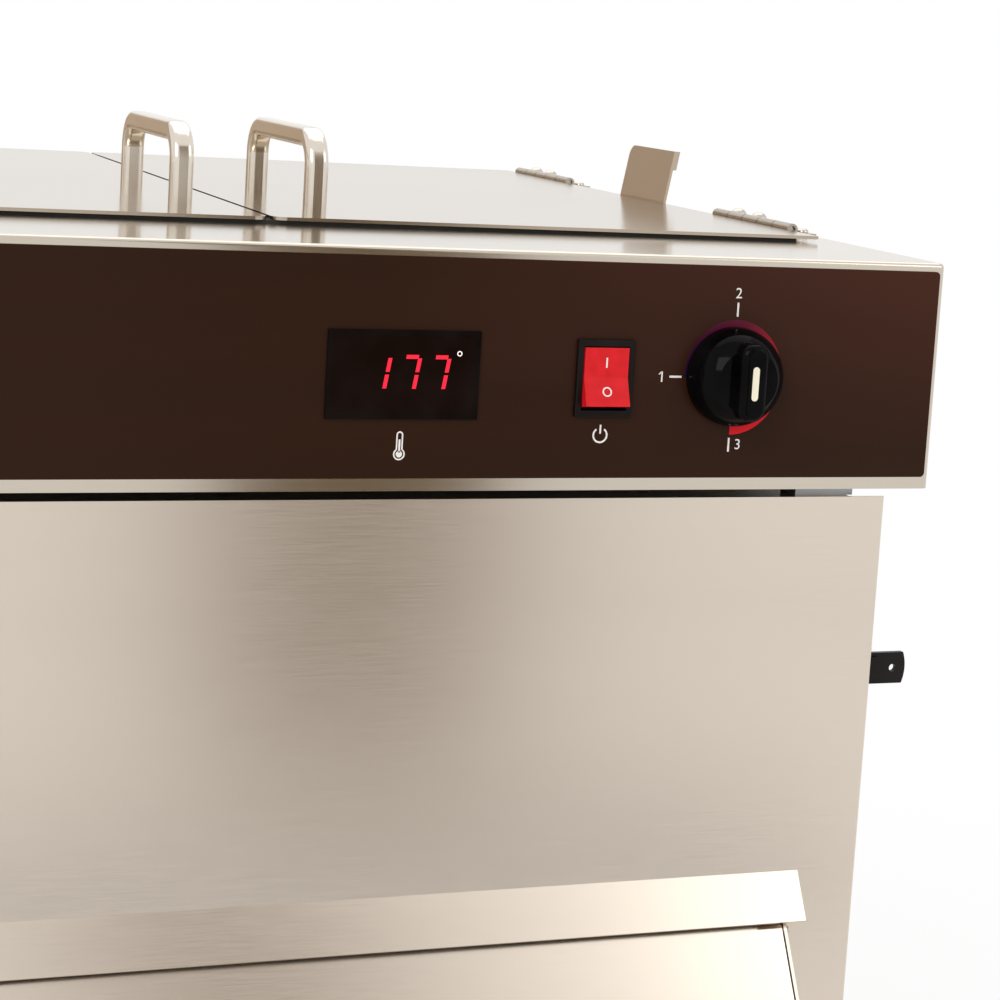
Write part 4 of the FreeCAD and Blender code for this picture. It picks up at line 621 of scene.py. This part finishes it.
class WARMER_OT_door_edge(bpy.types.Operator):
    """Carry the door's sheet on above its pins, so that it closes the gap under the lip"""

    bl_idname = "warmer.door_edge"
    bl_label = "Top edge of the door"

    def execute(self, context):
        s = settings()
        pivot = pivot_of("door")
        left = low("serving_door").x + s.door_ear
        right = high("serving_door").x - s.door_ear
        # its section, across the sheet and up along it from the pin, with the outer edge eased
        outside, inside = s.door_face, s.door_face - s.door_sheet
        start, stop = -s.door_step, s.door_rise
        ease = s.door_sheet * EASED_EDGE
        corner = ease * EASED_CORNER
        profile = [(outside, start), (outside, stop - ease), (outside - corner, stop - corner),
                   (outside - ease, stop), (inside, stop), (inside, start)]
        normal = Vector((0.0, -math.cos(s.chute_slope), math.sin(s.chute_slope)))
        upward = Vector((0.0, math.sin(s.chute_slope), math.cos(s.chute_slope)))
        pivot.x = left
        mesh = bmesh.new()
        section = mesh.faces.new([mesh.verts.new(pivot + normal * out + upward * up)
                                  for out, up in profile])
        extrude(mesh, [section], (right - left, 0.0, 0.0))
        finish_mesh("door_top_edge", mesh, bpy.data.materials["stainless_304_brushed"], "door")
        return {"FINISHED"}


class WARMER_OT_controls(bpy.types.Operator):
    """Give the overlay, display, switch and knob their finishes"""

    bl_idname = "warmer.controls"
    bl_label = "Control finishes"

    def execute(self, context):
        s = settings()
        # the film's own colour, and its painted sheen at the upper right
        give(overlay_film("polyester_overlay_film", s.overlay, s.overlay_painted_sheen),
             "control_overlay")
        # satin ABS round the display and a smoked acrylic window in it
        give(moulded_plastic("abs_black_satin", "#0f0806", rough=0.30, grit_mm=0.4, depth=0.15,
                             shine=0.035), "display_case")
        give(moulded_plastic("acrylic_smoked", "#150b08", rough=0.10, grit_mm=2.0, depth=0.02,
                             shine=0.05), "display_window")
        give(moulded_plastic("nylon_black_switch", "#130d0b", rough=0.34, grit_mm=0.3, depth=0.3,
                             shine=0.12), "rocker_frame")
        give(lit_red("polycarbonate_red_lit", s.red), "rocker_paddle")
        # phenolic knob, moulded in a polished tool: deep black with small sharp highlights
        give(moulded_plastic("phenolic_black_gloss", "#030203", rough=0.10, grit_mm=1.2,
                             depth=0.03, shine=0.05), "thermostat_knob")
        give(moulded_plastic("pointer_white_fill", "#e6dfca", rough=0.4, grit_mm=0.5, depth=0.1),
             "knob_pointer")
        give(moulded_plastic("phenolic_brown_matt", "#3a2a20", rough=0.6, grit_mm=0.5, depth=0.3),
             "thermostat_body")
        return {"FINISHED"}


class WARMER_OT_inside(bpy.types.Operator):
    """Give the rubber, small fittings, insulation, heater and blower their finishes"""

    bl_idname = "warmer.inside"
    bl_label = "Inner finishes"

    def execute(self, context):
        give(rubber("rubber_nitrile_black", "#161514"), "lid_gasket", "feet")
        give(moulded_plastic("nylon_black_bracket", "#161210", rough=0.35, grit_mm=0.4, depth=0.3,
                             shine=0.15), "side_bracket")
        give(moulded_plastic("nylon_black_gland", "#1a1918", rough=0.45, grit_mm=0.4, depth=0.3),
             "cord_gland")
        give(moulded_plastic("polyamide_ivory", "#d9d0b8", rough=0.5, grit_mm=0.4, depth=0.3),
             "terminal_block")
        give(fibre("mineral_wool_board", "#cfc39a"), "insulation")
        give(moulded_plastic("enamel_black_motor", "#202022", rough=0.35, grit_mm=1.0, depth=0.3),
             "blower_motor")
        give(brushed_metal("aluminium_pressed", "#c4c6c8", rough=0.35, grain="X",
                           streak_mm=1.0, depth=0.3, cloud=0.08), "blower_wheel")
        give(brushed_metal("sheath_heat_darkened", "#5d5148", rough=0.45, grain="X",
                           streak_mm=2.0, depth=0.3, cloud=0.3), "heater_element")
        give(brushed_metal("copper_drawn", "#b87a5a", rough=0.28, grain="Z",
                           streak_mm=0.8, depth=0.2, cloud=0.15), "sensing_bulb")
        return {"FINISHED"}


class WARMER_OT_dial(bpy.types.Operator):
    """Print the heat ring, ticks and numerals round the knob"""

    bl_idname = "warmer.dial"
    bl_label = "Dial print"

    def execute(self, context):
        s = settings()
        # the film is printed a little to the lower right of the spindle
        centre = middle("thermostat_knob") + Vector((s.print_aside, 0.0, -s.print_drop))
        front = low("control_overlay").y
        white = ink("ink_white", "#efece8")
        # the band is widest where the heat is highest
        mesh = bmesh.new()
        tapered_band(mesh, s.ring_radius,
                     lambda share: s.ring_start + (s.ring_end - s.ring_start) * share ** RING_SWELL,
                     math.pi, -math.pi / 2, 72)
        squeeze(mesh, s.print_squeeze)
        heat = dial_ink("ink_heat_ring", Vector((centre.x, front, centre.z)),
                        "#180e36", "#601a2e", "#e0222c")
        print_piece("dial_heat_ring", mesh, heat, centre.x, centre.z, front)
        # ticks at low, at the middle and at high
        mesh = bmesh.new()
        reach = s.ring_radius + TICK_GAP + s.tick_length / 2
        flat_box(mesh, -reach, 0.0, s.tick_length, s.tick_width)
        flat_box(mesh, 0.0, reach, s.tick_width, s.tick_length)
        flat_box(mesh, 0.0, -reach, s.tick_width, s.tick_length)
        squeeze(mesh, s.print_squeeze)
        print_piece("dial_ticks", mesh, white, centre.x, centre.z, front)
        # the numerals stand outside their ticks, and the 3 beside its own
        outside = s.ring_radius + s.tick_length + NUMERAL_GAP
        mesh = bmesh.new()
        draw_one(mesh, s.print_height)
        print_piece("dial_numeral_1", mesh, white, centre.x - outside * s.print_squeeze, centre.z,
                    front)
        numeral("dial_numeral_2", "2", white, centre.x, centre.z + outside, s.print_height, front)
        numeral("dial_numeral_3", "3", white, centre.x + BESIDE_TICK, centre.z - reach,
                s.print_height, front)
        return {"FINISHED"}


class WARMER_OT_signs(bpy.types.Operator):
    """Print a thermometer under the display and a power sign under the switch"""

    bl_idname = "warmer.signs"
    bl_label = "Plain signs"

    def execute(self, context):
        front = low("control_overlay").y
        white = bpy.data.materials["ink_white"]
        for name, draw, above, drop in (
                ("sign_temperature", draw_thermometer, "display_case", THERMOMETER_DROP),
                ("sign_power", draw_power, "rocker_frame", POWER_DROP)):
            mesh = bmesh.new()
            draw(mesh)
            print_piece(name, mesh, white, middle(above).x, low(above).z - drop, front)
        return {"FINISHED"}


class WARMER_OT_readout(bpy.types.Operator):
    """Light three digits and a degree mark in the display"""

    bl_idname = "warmer.readout"
    bl_label = "Lit readout"

    def execute(self, context):
        s = settings()
        front = low("display_window").y
        place = middle("display_window")
        tall = s.digit_height
        pitch = tall * DIGIT_PITCH
        mesh = bmesh.new()
        for index, digit in enumerate(READING):
            x = place.x + (index - 1) * pitch + DIGITS_ASIDE
            draw_digit(mesh, digit, x, place.z + DIGITS_RAISE, tall)
        print_piece("display_digits", mesh, ink("segment_red_lit", s.digits, glow=0.75), 0.0, 0.0,
                    front)
        mesh = bmesh.new()
        arc_band(mesh, DEGREE_RADIUS, DEGREE_LINE, 0.0, FULL_TURN, 28)
        print_piece("display_degree", mesh, ink("degree_white_lit", "#f2e4e4", glow=0.6),
                    place.x + DEGREE_ASIDE * pitch, place.z + DEGREE_RAISE * tall, front)
        return {"FINISHED"}


class WARMER_OT_rocker_marks(bpy.types.Operator):
    """Print the on and off marks on the paddle"""

    bl_idname = "warmer.rocker_marks"
    bl_label = "Rocker marks"

    def execute(self, context):
        white = bpy.data.materials["ink_white"]
        depth = settings().ink_thickness
        # at rest the paddle is tilted by its facet's angle, so its upper facet is upright
        rest = Matrix.Translation(pivot_of("rocker")) @ Matrix.Rotation(-PADDLE_FACET, 4, "X")
        for name, side in (("rocker_mark_on", 1), ("rocker_mark_off", -1)):
            mesh = bmesh.new()
            if side > 0:
                flat_box(mesh, 0.0, 0.0, MARK_BAR_WIDE, MARK_BAR_TALL)
            else:
                arc_band(mesh, MARK_RING_RADIUS, MARK_RING_LINE, 0.0, FULL_TURN, 32)
            extrude(mesh, list(mesh.faces), (0.0, depth, 0.0))
            bmesh.ops.translate(mesh, verts=mesh.verts, vec=(0.0, -depth, side * MARK_FROM_RIDGE))
            forward = Matrix.Translation((0.0, -PADDLE_RIDGE, 0.0))
            facet = Matrix.Rotation(side * PADDLE_FACET, 4, "X")
            bmesh.ops.transform(mesh, matrix=rest @ forward @ facet, verts=mesh.verts)
            finish_mesh(name, mesh, white, "rocker")
        return {"FINISHED"}


class WARMER_OT_stage(bpy.types.Operator):
    """Set the floor, cards, soft lights and the camera"""

    bl_idname = "warmer.stage"
    bl_label = "Stage"

    def execute(self, context):
        floor = sheet_prop("floor", (0.0, 0.0, 0.0), (28.0, 28.0), floor_paper())
        # cards before and behind, which only the polished sheets show, as a dim room would be
        upright = sheet_prop("card_upright", (0.47, -1.75, 1.2), (0.30, 2.4),
                             matt_card("card_brown", "#7d6a50"), standing=True)
        level = sheet_prop("card_level", (0.38, -1.34, 0.02), (0.9, 0.18),
                           matt_card("card_dark", "#160f0a"))
        behind = sheet_prop("card_behind", (-0.62, 2.0, 0.85), (0.9, 1.1),
                            matt_card("card_tan", "#c0ad98"), standing=True)
        for card in (upright, level, behind):
            card.visible_camera = False
            card.visible_diffuse = False
            card.visible_shadow = False
        context.scene.world = bpy.data.worlds.new("studio")
        white_room(context.scene.world)
        lamp("key_left", (-2.2, -2.6, 2.6), target=(0.0, 0.0, 0.5), size=2.0, power=60.0)
        lamp("fill_right", (2.4, -2.3, 2.3), target=(0.1, 0.0, 0.5), size=1.6, power=13.0)
        lamp("top_back", (0.3, 1.2, 3.0), target=(0.0, 0.0, 0.7), size=3.2, power=30.0)
        camera(context.scene)
        return {"FINISHED"}


# Studio

def sheet_prop(name, place, size, material, standing=False):
    """A flat prop of the studio, lying level or standing up across the view."""
    mesh = bmesh.new()
    bmesh.ops.create_grid(mesh, x_segments=1, y_segments=1, size=0.5)
    bmesh.ops.scale(mesh, verts=mesh.verts, vec=(size[0], size[1], 1.0))
    if standing:
        bmesh.ops.rotate(mesh, verts=mesh.verts, matrix=Matrix.Rotation(math.radians(90), 3, "X"))
    bmesh.ops.translate(mesh, verts=mesh.verts, vec=place)
    data = bpy.data.meshes.new(name)
    mesh.to_mesh(data)
    mesh.free()
    data.materials.append(material)
    prop = bpy.data.objects.new(name, data)
    bpy.context.scene.collection.objects.link(prop)
    return prop


def matt_card(name, colour):
    """Plain matt card."""
    material, _, card = new_material(name, "BsdfDiffuse")
    put(card, {"Color": linear(colour)})
    return material


def straight_rays(tree):
    """One where a camera, glossy or transmitted ray looks, so that all three see one white."""
    path = add(tree, "LightPath")
    either = reckon(tree, "MAXIMUM", path.outputs["Is Camera Ray"], path.outputs["Is Glossy Ray"])
    return reckon(tree, "MAXIMUM", either, path.outputs["Is Transmission Ray"])


def floor_paper():
    """White paper that keeps a soft shadow near the part and runs out to plain white."""
    material, tree, mix = new_material("paper_white", "MixShader")
    paper = add(tree, "BsdfDiffuse", values={"Color": grey(0.86)})
    plain = add(tree, "Emission", values={"Color": grey(1.0), "Strength": 1.0})
    reach = add(tree, "VectorMath", {"operation": "LENGTH"}, links={0: object_place(tree)})
    far = share_between(tree, reach.outputs["Value"], start=0.5, end=1.6, first=0.7, last=1.0)
    seen = reckon(tree, "MULTIPLY", straight_rays(tree), far)
    wire(tree, mix, {0: seen, 1: paper.outputs["BSDF"], 2: plain.outputs["Emission"]})
    return material


def white_room(world):
    """Soft warm light all round, and plain white wherever the camera or a reflection looks."""
    world.use_nodes = True
    tree = world.node_tree
    tree.nodes.clear()
    split = add(tree, "SeparateXYZ", links={"Vector": add(tree, "TexCoord").outputs["Generated"]})
    rise = share_between(tree, split.outputs["Z"], start=-0.2, end=0.9)
    sky = ramp(tree, rise, [(0.0, linear("#c9bcae")), (0.35, linear("#efe9e2")),
                            (1.0, linear("#ffffff"))])
    soft = add(tree, "Background", values={"Strength": 0.72}, links={"Color": sky})
    white = add(tree, "Background", values={"Color": grey(1.0), "Strength": 1.0})
    mix = add(tree, "MixShader", links={0: straight_rays(tree), 1: soft.outputs["Background"],
                                        2: white.outputs["Background"]})
    add(tree, "OutputWorld", links={"Surface": mix.outputs["Shader"]})


def lamp(name, place, target, size, power):
    """A square soft light turned to a target, its size in metres and its power in watts."""
    data = bpy.data.lights.new(name, "AREA")
    data.size = size
    data.energy = power
    light = bpy.data.objects.new(name, data)
    light.location = place
    light.rotation_euler = (Vector(target) - Vector(place)).to_track_quat("-Z", "Y").to_euler()
    bpy.context.scene.collection.objects.link(light)


def camera(scene):
    """The photograph's camera, solved from the edges of the head, the panel and the lip."""
    yaw, pitch, roll = -0.3820, 0.1395, -0.0648
    place = (-0.27638, -1.19823, 0.78666)
    focal_pixels, picture_pixels, sensor_mm = 2548.5, 1000.0, 36.0
    forward = Vector((-math.sin(yaw) * math.cos(pitch), math.cos(yaw) * math.cos(pitch),
                      -math.sin(pitch)))
    right = Vector((math.cos(yaw), math.sin(yaw), 0.0))
    down = forward.cross(right)
    rolled_right = right * math.cos(roll) + down * math.sin(roll)
    rolled_down = down * math.cos(roll) - right * math.sin(roll)
    data = bpy.data.cameras.new("camera")
    data.sensor_width = sensor_mm
    data.lens = focal_pixels / picture_pixels * sensor_mm
    data.shift_x, data.shift_y = -0.1, -0.1
    data.clip_end = 60.0
    view = bpy.data.objects.new("camera", data)
    turn = Matrix((rolled_right, -rolled_down, -forward)).transposed().to_4x4()
    view.matrix_world = Matrix.Translation(place) @ turn
    scene.collection.objects.link(view)
    scene.camera = view
    scene.view_settings.view_transform = "Standard"


class WARMER_PT_panel(bpy.types.Panel):
    """Sidebar panel that lists the settings and the steps"""

    bl_idname = "WARMER_PT_panel"
    bl_label = "Chip warmer"
    bl_space_type = "VIEW_3D"
    bl_region_type = "UI"
    bl_category = "Warmer"

    def draw(self, context):
        for name in WARMER_PG_settings.__annotations__:
            self.layout.prop(context.scene.warmer, name)
        for step in STEPS:
            self.layout.operator(step.bl_idname)


STEPS = (
    WARMER_OT_metal,
    WARMER_OT_door_edge,
    WARMER_OT_controls,
    WARMER_OT_inside,
    WARMER_OT_dial,
    WARMER_OT_signs,
    WARMER_OT_readout,
    WARMER_OT_rocker_marks,
    WARMER_OT_stage,
)
CLASSES = (WARMER_PG_settings, *STEPS, WARMER_PT_panel)


def register():
    """Register the classes and the scene's settings."""
    for item in CLASSES:
        bpy.utils.register_class(item)
    bpy.types.Scene.warmer = PointerProperty(type=WARMER_PG_settings)


def unregister():
    """Take the classes and settings out again."""
    del bpy.types.Scene.warmer
    for item in reversed(CLASSES):
        bpy.utils.unregister_class(item)


def main():
    """Run every step in order."""
    register()
    bpy.ops.warmer.metal()
    bpy.ops.warmer.door_edge()
    bpy.ops.warmer.controls()
    bpy.ops.warmer.inside()
    bpy.ops.warmer.dial()
    bpy.ops.warmer.signs()
    bpy.ops.warmer.readout()
    bpy.ops.warmer.rocker_marks()
    bpy.ops.warmer.stage()


if __name__ == "__main__":
    main()
